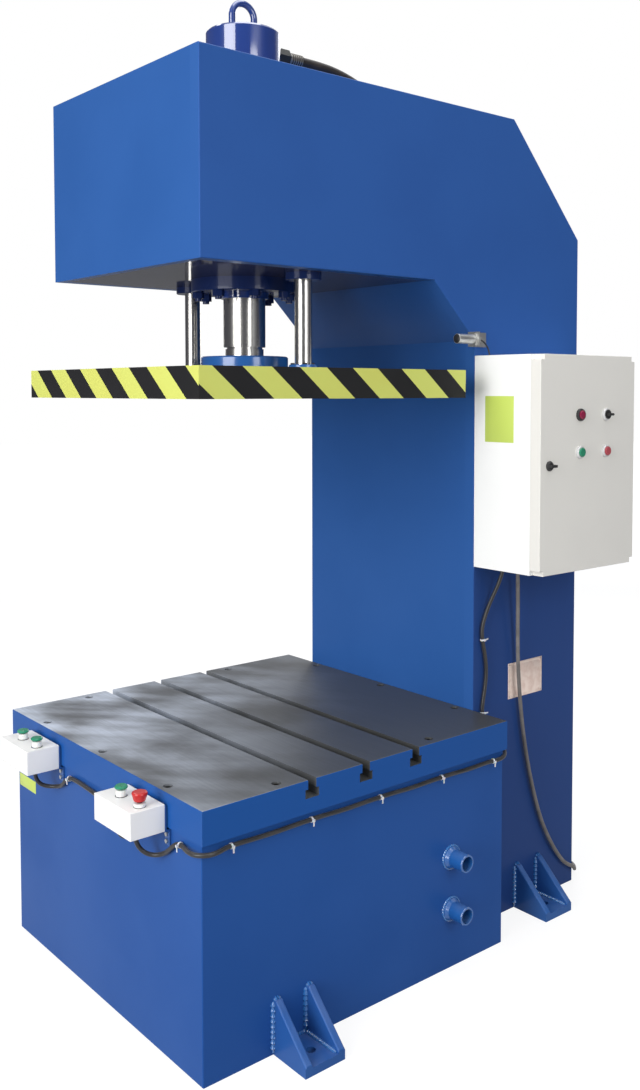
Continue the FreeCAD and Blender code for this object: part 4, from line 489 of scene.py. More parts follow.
@dataclass(frozen=True)
class Worktop:
    """Painted block whose top, slots and holes are ground, oil-darkened steel.

    A painted reflection lightens the steel towards the side that its reflection direction points to, broken
    by clouds and by wiped marks.
    """

    name: str
    low: Point
    high: Point
    steel: Colour = (0.135, 0.138, 0.136)
    # Pale colour of the painted reflection on the ground steel.
    reflection_colour: Colour = (0.68, 0.74, 0.84)
    grime: Colour = (0.05, 0.055, 0.06)
    paint: Colour = (0.013, 0.084, 0.318)
    skin: float = 0.0011
    # Wiped patches: they vary the roughness and also scale the painted reflection.
    wipe_and_reflection_turn: float = 40.0
    wipe_and_reflection_stretch: Point = (1.0, 3.6, 1.0)
    wipe_and_reflection_scale: float = 2.3
    clouding: float = 3.1
    hair_scale: float = 5.0
    hair_share: float = 0.10
    reflection_from: Point = (-0.65, -0.76, 0.0)
    reflection_span: tuple[float, float] = (-0.45, 0.60)
    reflection_least: float = 0.12
    reflection_stretch: float = 1.10
    steel_rough: tuple[float, float] = (0.42, 0.60)
    paint_rough: float = 0.32
    steel_metal: float = 0.6
    specular: tuple[float, float] = (0.10, 0.35)
    depth: float = 0.0004
    relief: float = 0.4

    def bare(self, shader: Shader) -> Socket:
        """Find the top face, the slots and the holes.

        Args:
            shader: the material that the mask is for.

        Returns:
            A mask that is 1 on them.
        """
        place = shader.place()
        (left, front, bottom), (right, back, top) = self.low, self.high
        skin, over = self.skin, 1.0
        low = (left + skin, front + skin, bottom + skin)
        core = shader.within(place, low, (right - skin, back - skin, top + over))
        low = (left - over, front - over, top - skin)
        face = shader.within(place, low, (right + over, back + over, top + over))
        return shader.maths("MAXIMUM", core, face)

    def material(self) -> Material:
        """Build the two finishes and part them by the mask.

        Returns:
            The material.
        """
        shader = Shader(self.name)
        bare = self.bare(shader)
        wiped_and_reflection_patches = shader.clouds(shader.place(self.wipe_and_reflection_stretch, self.wipe_and_reflection_turn), self.wipe_and_reflection_scale)
        hair = shader.marks(Heading.ALONG_X, self.hair_scale)
        cloud = shader.clouds(shader.place(), self.clouding)
        # Painted reflection: the steel's colour runs to a pale reflection colour on the side turned to the
        # given direction, in wiped and cloudy patches.
        lean = shader.ramp(shader.lean(shader.place(), self.reflection_from), *self.reflection_span)
        mean = 0.5
        patches = shader.times(shader.maths("ADD", wiped_and_reflection_patches, cloud, clamp=False), mean)
        level = shader.maths("ADD", shader.times(patches, self.reflection_stretch), self.reflection_least)
        painted_reflection = shader.times(lean, level)
        metal = shader.blend(painted_reflection, self.steel, self.reflection_colour)
        metal = shader.blend(shader.times(hair[0], self.hair_share), metal, self.grime)
        rough = shader.blend(painted_reflection, *map(grey, self.steel_rough))
        shader.give(
            Base_Color=shader.blend(bare, self.paint, metal),
            Roughness=shader.blend(bare, grey(self.paint_rough), rough),
            Metallic=shader.times(bare, self.steel_metal),
            Specular_IOR_Level=shader.blend(bare, *map(grey, self.specular)),
        )
        shader.bump(shader.times(hair[1], bare), self.depth, self.relief)
        return shader.material


@dataclass(frozen=True)
class Coat:
    """Colour, metallic share and roughness of one half of a parted finish."""

    colour: Colour
    metal: float
    rough: float


@dataclass(frozen=True)
class Parted:
    """Two coats on one node, parted by the box that the first one fills."""

    name: str
    low: Point
    high: Point
    inside: Coat
    outside: Coat
    darker: float = 0.7
    clouding: tuple[float, float] = (40.0, 0.35)
    grain: tuple[float, float, float] = (500.0, 0.0002, 0.4)

    def material(self) -> Material:
        """Build both coats and their fine marks.

        Returns:
            The material.
        """
        shader = Shader(self.name)
        place = shader.place()
        mask = shader.within(place, self.low, self.high)
        pair = (self.outside, self.inside)
        dark = [tuple(self.darker * part for part in coat.colour) for coat in pair]
        body = shader.blend(mask, *(coat.colour for coat in pair))
        body = shader.blend(shader.clouds(place, *self.clouding), body, shader.blend(mask, *dark))
        shader.give(Base_Color=body)
        shader.vary("Metallic", mask, *(coat.metal for coat in pair))
        shader.vary("Roughness", mask, *(coat.rough for coat in pair))
        shader.grain(place, *self.grain)
        return shader.material


BLUE = (0.027, 0.102, 0.330)
BLUE_DEEP = (0.023, 0.093, 0.308)
BARE_ZINC = (0.62, 0.62, 0.60)
FAR = 10.0
LOWEST = (-FAR, -FAR, -FAR)


class Finish(Enum):
    """Every finish on the press."""

    FRAME = Paint("press_blue", BLUE, BLUE_DEEP)
    BASE = Paint("base_blue", (0.020, 0.088, 0.322), (0.017, 0.079, 0.297))
    # Lighter copy of the frame's blue for the outer side plate: painted light. Its foot colour is a painted
    # shade low on the column's side.
    SIDE = Paint(
        "side_blue_painted_light_and_shade", (0.029, 0.102, 0.348), (0.026, 0.094, 0.328), foot=(0.020, 0.060, 0.218), skin=0.4075
    )
    # Lighter copy of the frame's blue for sockets and slide flanges: painted highlight. The coat's gloss is
    # real.
    CASTING = Paint("part_blue_painted_highlight", (0.018, 0.118, 0.385), (0.013, 0.098, 0.335), 0.2, 0.7, 0.45, 0.0009, 60.0)
    # Lighter copy of the frame's blue for the weld beads: painted highlight on the ripples. Their coat gives
    # real gloss.
    WELD = Paint("weld_blue_painted_highlight", (0.034, 0.170, 0.460), (0.026, 0.140, 0.400), 0.12, 0.9, 0.5, 0.0009, 60.0)
    CYLINDER = Paint(
        "cylinder_blue", (0.014, 0.044, 0.215), (0.012, 0.038, 0.185), 0.3, 1.0, 0.1, 0.0002, 60.0,
        coat_index=1.85,
    )
    # Darker copy of the frame's blue for the flange, bushes and bolts under the head: painted shade.
    FLANGE = Paint("flange_blue_painted_shade", (0.010, 0.024, 0.100), (0.008, 0.018, 0.080), 0.24, 0.3, 0.1, 0.0005, 60.0)
    # Lighter copy of the frame's blue for the welded feet: painted light.
    FOOT = Paint("foot_blue_painted_light", (0.030, 0.120, 0.375), (0.022, 0.096, 0.325), 0.3, 0.12, 0.12, 0.0007, 60.0)
    # Dark greyed copy of the frame's blue for the head's underside: painted shade. Its coat mirrors the parts
    # below for real.
    GLOSS_AND_SHADE = Paint(
        "underside_painted_shade", (0.038, 0.040, 0.088), (0.032, 0.035, 0.076), 0.3, 0.7, 0.002, 0.0002, 40.0
    )
    POWDER = Paint(
        "cabinet_white", (0.95, 0.95, 0.925), (0.92, 0.92, 0.895), 0.45, 0.0, 0.4, 0.0005, 420.0, 0.06
    )
    DOOR = Paint("door_grey", (0.80, 0.78, 0.725), (0.77, 0.75, 0.70), 0.45, 0.0, 0.4, 0.0005, 420.0, 0.06)
    BOX = Paint("box_white", (0.88, 0.87, 0.85), (0.85, 0.84, 0.82), 0.4, 0.0, 0.4, 0.0004, 420.0, 0.05)
    YELLOW = Paint(
        "hazard_yellow", (0.62, 0.67, 0.15), (0.60, 0.60, 0.12), 0.4, 0.0, 0.4, 0.0002, 160.0, 0.05
    )
    BLACK = Paint(
        "hazard_black", (0.012, 0.012, 0.013), (0.016, 0.016, 0.017), 0.45, 0.0, 0.2, 0.0002, 160.0, 0.0
    )
    GREY = Paint("tank_grey", (0.16, 0.18, 0.19), (0.13, 0.15, 0.16), 0.4, 0.1, 0.4, 0.0006, 120.0, 0.3)
    LIME = Paint("sticker_lime", (0.56, 0.69, 0.13), (0.53, 0.65, 0.12), 0.35, 0.0, 0.4, 0.0001, 300.0, 0.0)
    CHROME = Steel(
        "polished_chrome", (0.54, 0.53, 0.50), (0.42, 0.41, 0.39), roughness=0.22, spread=0.04, depth=0.0
    )
    MACHINED = Steel("milled_steel", (0.44, 0.45, 0.46), (0.30, 0.31, 0.32), Heading.ALONG_X, 0.3)
    SLIDE_FACE = Steel(
        "slide_face", (0.30, 0.31, 0.33), (0.18, 0.19, 0.20), Heading.ALONG_X, 0.35, 0.2, 0.0003
    )
    ZINC = Plating("zinc", BARE_ZINC, (0.50, 0.49, 0.45), 0.3)
    OXIDE = Plating("black_oxide", (0.05, 0.05, 0.052), (0.09, 0.085, 0.08))
    PIPE = Plating("plated_pipe", (0.50, 0.50, 0.48), (0.40, 0.39, 0.36), 0.3)
    FERRULE = Plating("dark_ferrule", (0.06, 0.055, 0.05), (0.16, 0.14, 0.11))
    PLATE = Plating("rating_plate_metal", (0.92, 0.77, 0.69), (0.80, 0.63, 0.55), 0.42)
    HOSE = Plastic("hose_rubber", (0.017, 0.013, 0.011), (0.035, 0.024, 0.018), 0.42, 0.0003, 500.0, 0.1)
    CABLE = Plastic("control_cable", (0.013, 0.012, 0.012), (0.03, 0.027, 0.026), 0.36, 0.0003, 500.0, 0.1)
    SUPPLY = Plastic("supply_cable", (0.130, 0.118, 0.112), (0.23, 0.21, 0.20), 0.55, 0.0006, 260.0, 0.2)
    BLACK_PLASTIC = Plastic("moulded_black", (0.013, 0.013, 0.014), (0.025, 0.025, 0.026))
    WHITE_PLASTIC = Plastic("moulded_white", (0.78, 0.78, 0.76), (0.72, 0.72, 0.70), 0.3, glow=0.1)
    TIE = Plastic("tie_nylon", (0.75, 0.76, 0.76), (0.66, 0.67, 0.68), 0.35, glow=0.2)
    GREEN = Plastic("green_cap", (0.015, 0.23, 0.12), (0.02, 0.27, 0.15), 0.25, 0.00005, glow=0.1)
    RED = Plastic("red_cap", (0.50, 0.012, 0.012), (0.56, 0.02, 0.018), 0.28, 0.00005, glow=0.1)
    STOP = Plastic("stop_red", (0.40, 0.055, 0.070), (0.46, 0.075, 0.09), 0.28, 0.00005, glow=0.1)
    LENS = Plastic("lamp_red", (0.24, 0.012, 0.050), (0.30, 0.016, 0.07), 0.12, 0.00003, glow=0.2)
    DEVICE = Plastic("device_grey", (0.30, 0.31, 0.32), (0.26, 0.27, 0.28), 0.45)
    STRAPS = Parted(
        "strap_blue_and_zinc", LOWEST, (FAR, -0.4, FAR), Coat(BLUE, 0.0, 0.3), Coat(BARE_ZINC, 0.9, 0.3)
    )
    FITTINGS = Parted(
        "nut_black_and_zinc", LOWEST, (FAR, 0.1655, FAR), Coat(grey(0.03), 0.3, 0.4),
        Coat((0.34, 0.33, 0.31), 0.8, 0.35),
    )
    RINGS = Parted(
        "ring_black_and_white", (-FAR, -FAR, 1.578), (FAR, 0.835, FAR), Coat((0.02, 0.02, 0.022), 0.0, 0.35),
        Coat(grey(0.70), 0.3, 0.35),
    )

    @cache
    def get(self) -> Material:
        """The finish's material, built on first use."""
        return self.value.material()


def put_in_scene(name: str, data: bpy.types.ID) -> bpy.types.Object:
    """Make an object of some data and link it to the scene.

    Args:
        name: the object's name.
        data: its mesh, curve, lamp or camera.

    Returns:
        The object.
    """
    thing = bpy.data.objects.new(name, data)
    bpy.context.scene.collection.objects.link(thing)
    return thing


def mesh_data(name: str, mesh: Mesh) -> bpy.types.Mesh:
    """Turn a bmesh into mesh data and free it.

    Args:
        name: the data's name.
        mesh: the bmesh.

    Returns:
        The data.
    """
    data = bpy.data.meshes.new(name)
    mesh.to_mesh(data)
    mesh.free()
    return data


class Workshop:
    """Holds the loaded frame, dresses CAD nodes and makes the pieces that ride on them."""

    SHARP = math.radians(40.0)

    def __init__(self, frame: dict) -> None:
        """Keep the loaded frame's nodes."""
        self.nodes = frame["nodes"]

    def dress(self, finish: Finish | Worktop, *names: str) -> None:
        """Give CAD nodes a finish.

        Args:
            finish: a named finish, or one made for a single node.
            names: the nodes.
        """
        material = finish.get() if isinstance(finish, Finish) else finish.material()
        for name in names:
            for slot in self.nodes[name].material_slots:
                slot.link = "OBJECT"
                slot.material = material
            log.info("dressed %s", name)

    def mount(
        self, name: str, data: bpy.types.ID, finish: Finish, body: str = "press_frame"
    ) -> bpy.types.Object:
        """Make a piece that rides on a body.

        Args:
            name: the piece's name.
            data: its mesh or curve in the press's own coordinates.
            finish: its finish.
            body: the body that carries it.

        Returns:
            The piece.
        """
        data.materials.append(finish.get())
        thing = put_in_scene(name, data)
        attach(thing, body)
        log.info("built %s", name)
        return thing

    def piece(
        self, name: str, mesh: Mesh, finish: Finish, slot: str, body: str = "press_frame"
    ) -> bpy.types.Object:
        """Mount a bmesh, smooth but for its sharp edges.

        Args:
            name: the piece's name.
            mesh: its shape; it is freed.
            finish: its finish.
            slot: the record's material slot; not used.
            body: the body that carries it.

        Returns:
            The piece.
        """
        bmesh.ops.recalc_face_normals(mesh, faces=mesh.faces)
        for edge in mesh.edges:
            edge.smooth = len(edge.link_faces) == 2 and edge.calc_face_angle(0.0) < self.SHARP
        for face in mesh.faces:
            face.smooth = True
        return self.mount(name, mesh_data(name, mesh), finish, body)

    def cable(
        self, name: str, route: tuple[Point, ...], diameter: float, finish: Finish, slot: str
    ) -> bpy.types.Object:
        """Lay a round cable as one smooth curve.

        Args:
            name: the piece's name.
            route: control points of the cable's middle line.
            diameter: the cable's diameter.
            finish: its jacket.
            slot: the record's material slot; not used.

        Returns:
            The piece.
        """
        data = bpy.data.curves.new(name, "CURVE")
        data.dimensions = "3D"
        spline = data.splines.new("NURBS")
        spline.points.add(len(route) - 1)
        for point, spot in zip(spline.points, route):
            point.co = (*spot, 1.0)
        spline.order_u = 3
        spline.use_endpoint_u = True
        data.resolution_u = 6
        data.bevel_depth = diameter / 2
        data.bevel_resolution = 4
        data.use_fill_caps = True
        return self.mount(name, data, finish)


def join(mesh: Mesh, part: Mesh, place: Matrix) -> None:
    """Move a part into place, add it to a mesh and free it.

    Args:
        mesh: the bmesh that takes the part.
        part: the part.
        place: where the part's own origin goes.
    """
    bmesh.ops.transform(part, matrix=place, verts=part.verts)
    carrier = mesh_data("carrier", part)
    mesh.from_mesh(carrier)
    bpy.data.meshes.remove(carrier)


def add_block(mesh: Mesh, low: Point | Vector, high: Point | Vector, bevel: float = 0.0) -> None:
    """Add a block between two corners.

    Args:
        mesh: the bmesh to add it to.
        low: its lowest corner.
        high: its highest corner.
        bevel: width of its rounded edges.
    """
    part = bmesh.new()
    bmesh.ops.create_cube(part, size=1.0)
    bmesh.ops.scale(part, vec=Vector(high) - Vector(low), verts=part.verts)
    if bevel:
        edges = part.edges[:]
        bmesh.ops.bevel(part, geom=edges, offset=bevel, segments=2, profile=0.5, affect="EDGES", material=-1)
    join(mesh, part, Matrix.Translation((Vector(high) + Vector(low)) / 2))


def spin_whole(part: Mesh, section: list, steps: int) -> None:
    """Spin a section once round its part's own Z."""
    axis = {"cent": (0, 0, 0), "axis": (0, 0, 1)}
    bmesh.ops.spin(part, geom=section, angle=math.tau, steps=steps, use_merge=True, **axis)


def add_turned(mesh: Mesh, outline: Outline, place: Matrix, steps: int) -> None:
    """Add a turned form.

    Args:
        mesh: the bmesh to add it to.
        outline: its (radius, height) points.
        place: where it stands.
        steps: segments round it.
    """
    part = bmesh.new()
    verts = [part.verts.new((radius, 0.0, height)) for radius, height in outline]
    spin_whole(part, verts + [part.edges.new(pair) for pair in zip(verts, verts[1:])], steps)
    bmesh.ops.remove_doubles(part, verts=part.verts, dist=1e-6)
    join(mesh, part, place)


def pointing(direction: Vector, where: Point | Vector) -> Matrix:
    """Placement at a point whose own Z follows a direction."""
    return Matrix.Translation(where) @ direction.to_track_quat("Z", "Y").to_matrix().to_4x4()


def facing(axis: str, where: Point) -> Matrix:
    """Placement at a point whose own Z follows the X, Y or Z axis."""
    return pointing(Vector([float(letter == axis) for letter in "XYZ"]), where)


@dataclass(frozen=True)
class Bead:
    """A weld bead: its half width, the distance between its ripples and how it swells and tapers."""

    radius: float
    pitch: float = 0.007
    swell: float = 0.32
    ring_swell: float = 0.16
    unevenness: float = 0.07
    uneven_speed: float = 431.0
    end_width: float = 0.35
    end_length: float = 1.5
    sides: int = 8
    cuts: int = 3
    fewest_cuts: int = 4

    def straight(self, mesh: Mesh, start: Point, end: Point) -> None:
        """Add a straight bead with its ripples and thinner ends.

        Args:
            mesh: the bmesh to add it to.
            start: one end of the bead's middle line.
            end: the other end.
        """
        run = Vector(end) - Vector(start)
        long, wide = run.length, self.radius
        part = bmesh.new()
        bmesh.ops.create_cone(
            part, segments=self.sides, radius1=wide, radius2=wide, depth=long, cap_ends=True
        )
        upright = [edge for edge in part.edges if abs(edge.verts[0].co.z - edge.verts[1].co.z) > long / 2]
        cuts = max(self.fewest_cuts, int(long / self.pitch * self.cuts))
        bmesh.ops.subdivide_edges(part, edges=upright, cuts=cuts)
        for vert in part.verts:
            along = vert.co.z + long / 2
            taper = min(1.0, self.end_width + min(along, long - along) / (wide * self.end_length))
            swell = 1.0 + self.swell * math.cos(along / self.pitch * math.tau)
            swell = (swell + self.unevenness * math.sin(along * self.uneven_speed)) * taper
            vert.co.x *= swell
            vert.co.y *= swell
        join(mesh, part, pointing(run, Vector(start) + run / 2))

    def ring(self, mesh: Mesh, place: Matrix, reach: float) -> None:
        """Add a bead that runs round a tube.

        Args:
            mesh: the bmesh to add it to.
            place: middle and axis of the ring.
            reach: radius of the bead's middle line.
        """
        ripples = round(math.tau * reach / self.pitch)
        part = bmesh.new()
        bmesh.ops.create_circle(part, segments=self.sides, radius=self.radius)
        upright = Matrix.Translation((reach, 0, 0)) @ Matrix.Rotation(math.pi / 2, 4, "X")
        bmesh.ops.transform(part, matrix=upright, verts=part.verts)
        spin_whole(part, part.verts[:] + part.edges[:], ripples * self.cuts)
        for vert in part.verts:
            angle = math.atan2(vert.co.y, vert.co.x)
            middle = Vector((math.cos(angle) * reach, math.sin(angle) * reach, 0.0))
            vert.co = middle + (vert.co - middle) * (1.0 + self.ring_swell * math.cos(angle * ripples))
        join(mesh, part, place)


@dataclass
class MachineFrame:
    """Welded C-frame, base box and the seams that join them."""

    shop: Workshop
    plates: tuple[str, ...] = (
        "left_side_plate", "column_front_plate", "throat_plate", "head_front_plate", "rear_bevel_plate",
        "head_top_plate", "column_back_plate", "rear_cover",
    )
    bead: Bead = Bead(0.004)
    lift: float = 0.0015
    end_gap: float = 0.01

    def build(self) -> None:
        """Dress the plates and lay the weld beads between base and column."""
        self.shop.dress(Finish.FRAME, *self.plates)
        self.shop.dress(Finish.BASE, "base_box")
        self.shop.dress(Finish.SIDE, "right_side_plate")
        # The underside finish is a painted shade with a real glossy coat.
        self.shop.dress(Finish.GLOSS_AND_SHADE, "head_floor_plate")
        self.shop.dress(Finish.ZINC, "frame_bolts")
        self.shop.dress(Finish.STRAPS, "mounting_brackets")
        mesh = bmesh.new()
        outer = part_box("right_side_plate")[1][0]
        back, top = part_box("base_box")[1][1:]
        for side in (-1, 1):
            corner = (side * (outer + self.lift), back + self.lift)
            self.bead.straight(mesh, (*corner, self.end_gap), (*corner, top - self.end_gap))
        self.shop.piece("frame_welds", mesh, Finish.FRAME, "blue_paint")


@dataclass
class AnchorFeet:
    """Welded feet with their beads."""

    shop: Workshop
    reach: float = 0.135
    half: float = 0.064
    plate: float = 0.022
    gusset: float = 0.022
    high: float = 0.145
    front: tuple[float, float] = (0.530, -0.227)
    rear: tuple[float, float] = (0.4075, 0.853)
    lift: float = 0.0012
    bead: Bead = Bead(0.0074, 0.014)
    crest_bead: Bead = Bead(0.0074)
    floor_bead: Bead = Bead(0.0074 * 0.8)
    above_ground: float = 0.006
    end_gap: float = 0.004
    wall_gap: float = 0.006
    toe_gap: float = 0.008
    crest_depth: float = 0.001

    def build(self) -> None:
        """Dress the feet and weld them."""
        self.shop.dress(Finish.FOOT, "anchor_feet")
        mesh = bmesh.new()
        for wall, middle in (self.front, self.rear):
            for side in (-1, 1):
                self.weld_foot(mesh, wall, middle, side)
        self.shop.piece("foot_welds", mesh, Finish.WELD, "blue_paint")

    def weld_foot(self, mesh: Mesh, wall: float, middle: float, side: int) -> None:
        """Lay the beads of one foot.

        Args:
            mesh: the bmesh to add them to.
            wall: distance of the wall from the press's middle.
            middle: the foot's place along Y.
            side: 1 on the right of the press, -1 on the left.
        """
        face = side * (wall + self.lift)
        floor = self.plate + self.lift
        inner = self.half - self.gusset - self.lift
        for edge, low in ((self.half + self.lift, self.above_ground), (inner, self.plate + self.end_gap)):
            for line in (middle + edge, middle - edge):
                self.bead.straight(mesh, (face, line, low), (face, line, self.high - self.end_gap))
        near, far = side * (wall + self.wall_gap), side * (wall + self.reach - self.toe_gap)
        for line in (middle - inner, middle + inner):
            self.floor_bead.straight(mesh, (near, line, floor), (far, line, floor))
        self.floor_bead.straight(mesh, (face, middle - inner, floor), (face, middle + inner, floor))
        crest = self.high - self.crest_depth
        for start in (middle + self.half - self.gusset, middle - self.half):
            self.crest_bead.straight(mesh, (face, start, crest), (face, start + self.gusset, crest))


@dataclass
class PipeSockets:
    """Two sockets in the base's side and the welds that hold them."""

    shop: Workshop
    wall: float = 0.531
    back: float = 0.362
    heights: tuple[float, float] = (0.177, 0.333)
    ring: float = 0.034
    bead: Bead = Bead(0.0035, 0.006)

    def build(self) -> None:
        """Dress the sockets and weld them."""
        self.shop.dress(Finish.CASTING, "pipe_sockets")
        mesh = bmesh.new()
        for height in self.heights:
            self.bead.ring(mesh, facing("X", (self.wall, self.back, height)), self.ring)
        self.shop.piece("socket_welds", mesh, Finish.WELD, "blue_paint")


@dataclass
class Worktable:
    """Ground table top with painted sides."""

    shop: Workshop

    def build(self) -> None:
        """Dress the table and its screws."""
        low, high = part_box("worktable")
        self.shop.dress(Worktop("table_steel_and_paint", tuple(low), tuple(high)), "worktable")
        self.shop.dress(Finish.OXIDE, "table_screws")


@dataclass
class Cylinder:
    """Cylinder with its flanges, bolts, bushes, lifting eye and port."""

    shop: Workshop
    eye_span: float = 0.040
    eye_ring: float = 0.0115
    eye_lift: float = 0.0008
    bead: Bead = Bead(0.003, 0.004)
    port: Point = (0.0, 0.1078, 2.738)
    port_steps: int = 40
    seal: Outline = ((0.0230, 0.0), (0.0262, 0.0), (0.0265, 0.0006), (0.0262, 0.0016), (0.0230, 0.0018))

    def build(self) -> None:
        """Dress the cylinder, weld its eye and seal its port."""
        self.shop.dress(Finish.CYLINDER, "cylinder_barrel", "cylinder_end_cover", "lifting_eye")
        # The flange finish is a darker copy of the blue: painted shade under the head.
        self.shop.dress(Finish.FLANGE, "cylinder_flange", "guide_bushes", "head_bolts")
        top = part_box("cylinder_barrel")[1][2]
        mesh = bmesh.new()
        for side in (-1, 1):
            self.bead.ring(mesh, facing("Z", (0.0, side * self.eye_span, top + self.eye_lift)), self.eye_ring)
        self.shop.piece("eye_welds", mesh, Finish.CYLINDER, "blue_paint")
        mesh = bmesh.new()
        add_turned(mesh, self.seal, facing("Y", self.port), self.port_steps)
        self.shop.piece("port_seal_ring", mesh, Finish.ZINC, "zinc_steel")


def metres(*points: Point) -> tuple[Point, ...]:
    """Turn route points from millimetres into metres."""
    return tuple((x / 1000, y / 1000, z / 1000) for x, y, z in points)


@dataclass
class PressureHose:
    """Rubber hose from the cylinder to the head, with crimped ferrules."""

    shop: Workshop
    diameter: float = 0.030
    length: float = 0.390
    route: tuple[Point, ...] = metres(
        (0, 219, 2738), (0, 300, 2738), (0, 380, 2728), (0, 460, 2706), (0, 530, 2669), (0, 580, 2624)
    )
    ferrule: float = 0.018
    first_ferrule: float = 0.054
    last_ferrule: float = 0.044
    ribs: int = 5
    first_rib: float = 0.16
    rib_step: float = 0.15
    rib: Outline = ((-0.0008, -0.0028), (0.0009, -0.0014), (0.0009, 0.0014), (-0.0008, 0.0028))
    lip: Outline = ((-0.0029, -0.0012), (-0.0008, -0.0016), (0.0006, 0.0006), (0.0004, 0.003))
    steps: int = 36

    def build(self) -> None:
        """Lay the hose and crimp it."""
        self.shop.dress(Finish.FITTINGS, "hose_fittings")
        hose = self.shop.cable("pressure_hose", self.route, self.diameter, Finish.HOSE, "black_rubber")
        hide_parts("hydraulic_hose")
        mesh = bmesh.new()
        start, before, end = (Vector(self.route[index]) for index in (0, -2, -1))
        self.crimps(mesh, start, Vector((0, -1, 0)), self.first_ferrule)
        self.crimps(mesh, end, (end - before).normalized(), self.last_ferrule)
        rings = self.shop.piece("hose_crimps", mesh, Finish.FERRULE, "zinc_steel")

    def crimps(self, mesh: Mesh, mouth: Vector, away: Vector, length: float) -> None:
        """Pressed ribs round one ferrule and the lip at its mouth.

        Args:
            mesh: the bmesh to add them to.
            mouth: where the hose enters the ferrule.
            away: direction from the hose into the fitting.
            length: length of the ferrule.
        """
        rib = [(self.ferrule + out, height) for out, height in self.rib]
        lip = [(self.ferrule + out, height) for out, height in self.lip]
        for index in range(self.ribs):
            where = mouth + away * (length * (self.first_rib + self.rib_step * index))
            add_turned(mesh, rib, pointing(away, where), self.steps)
        add_turned(mesh, lip, pointing(away, mouth), self.steps)


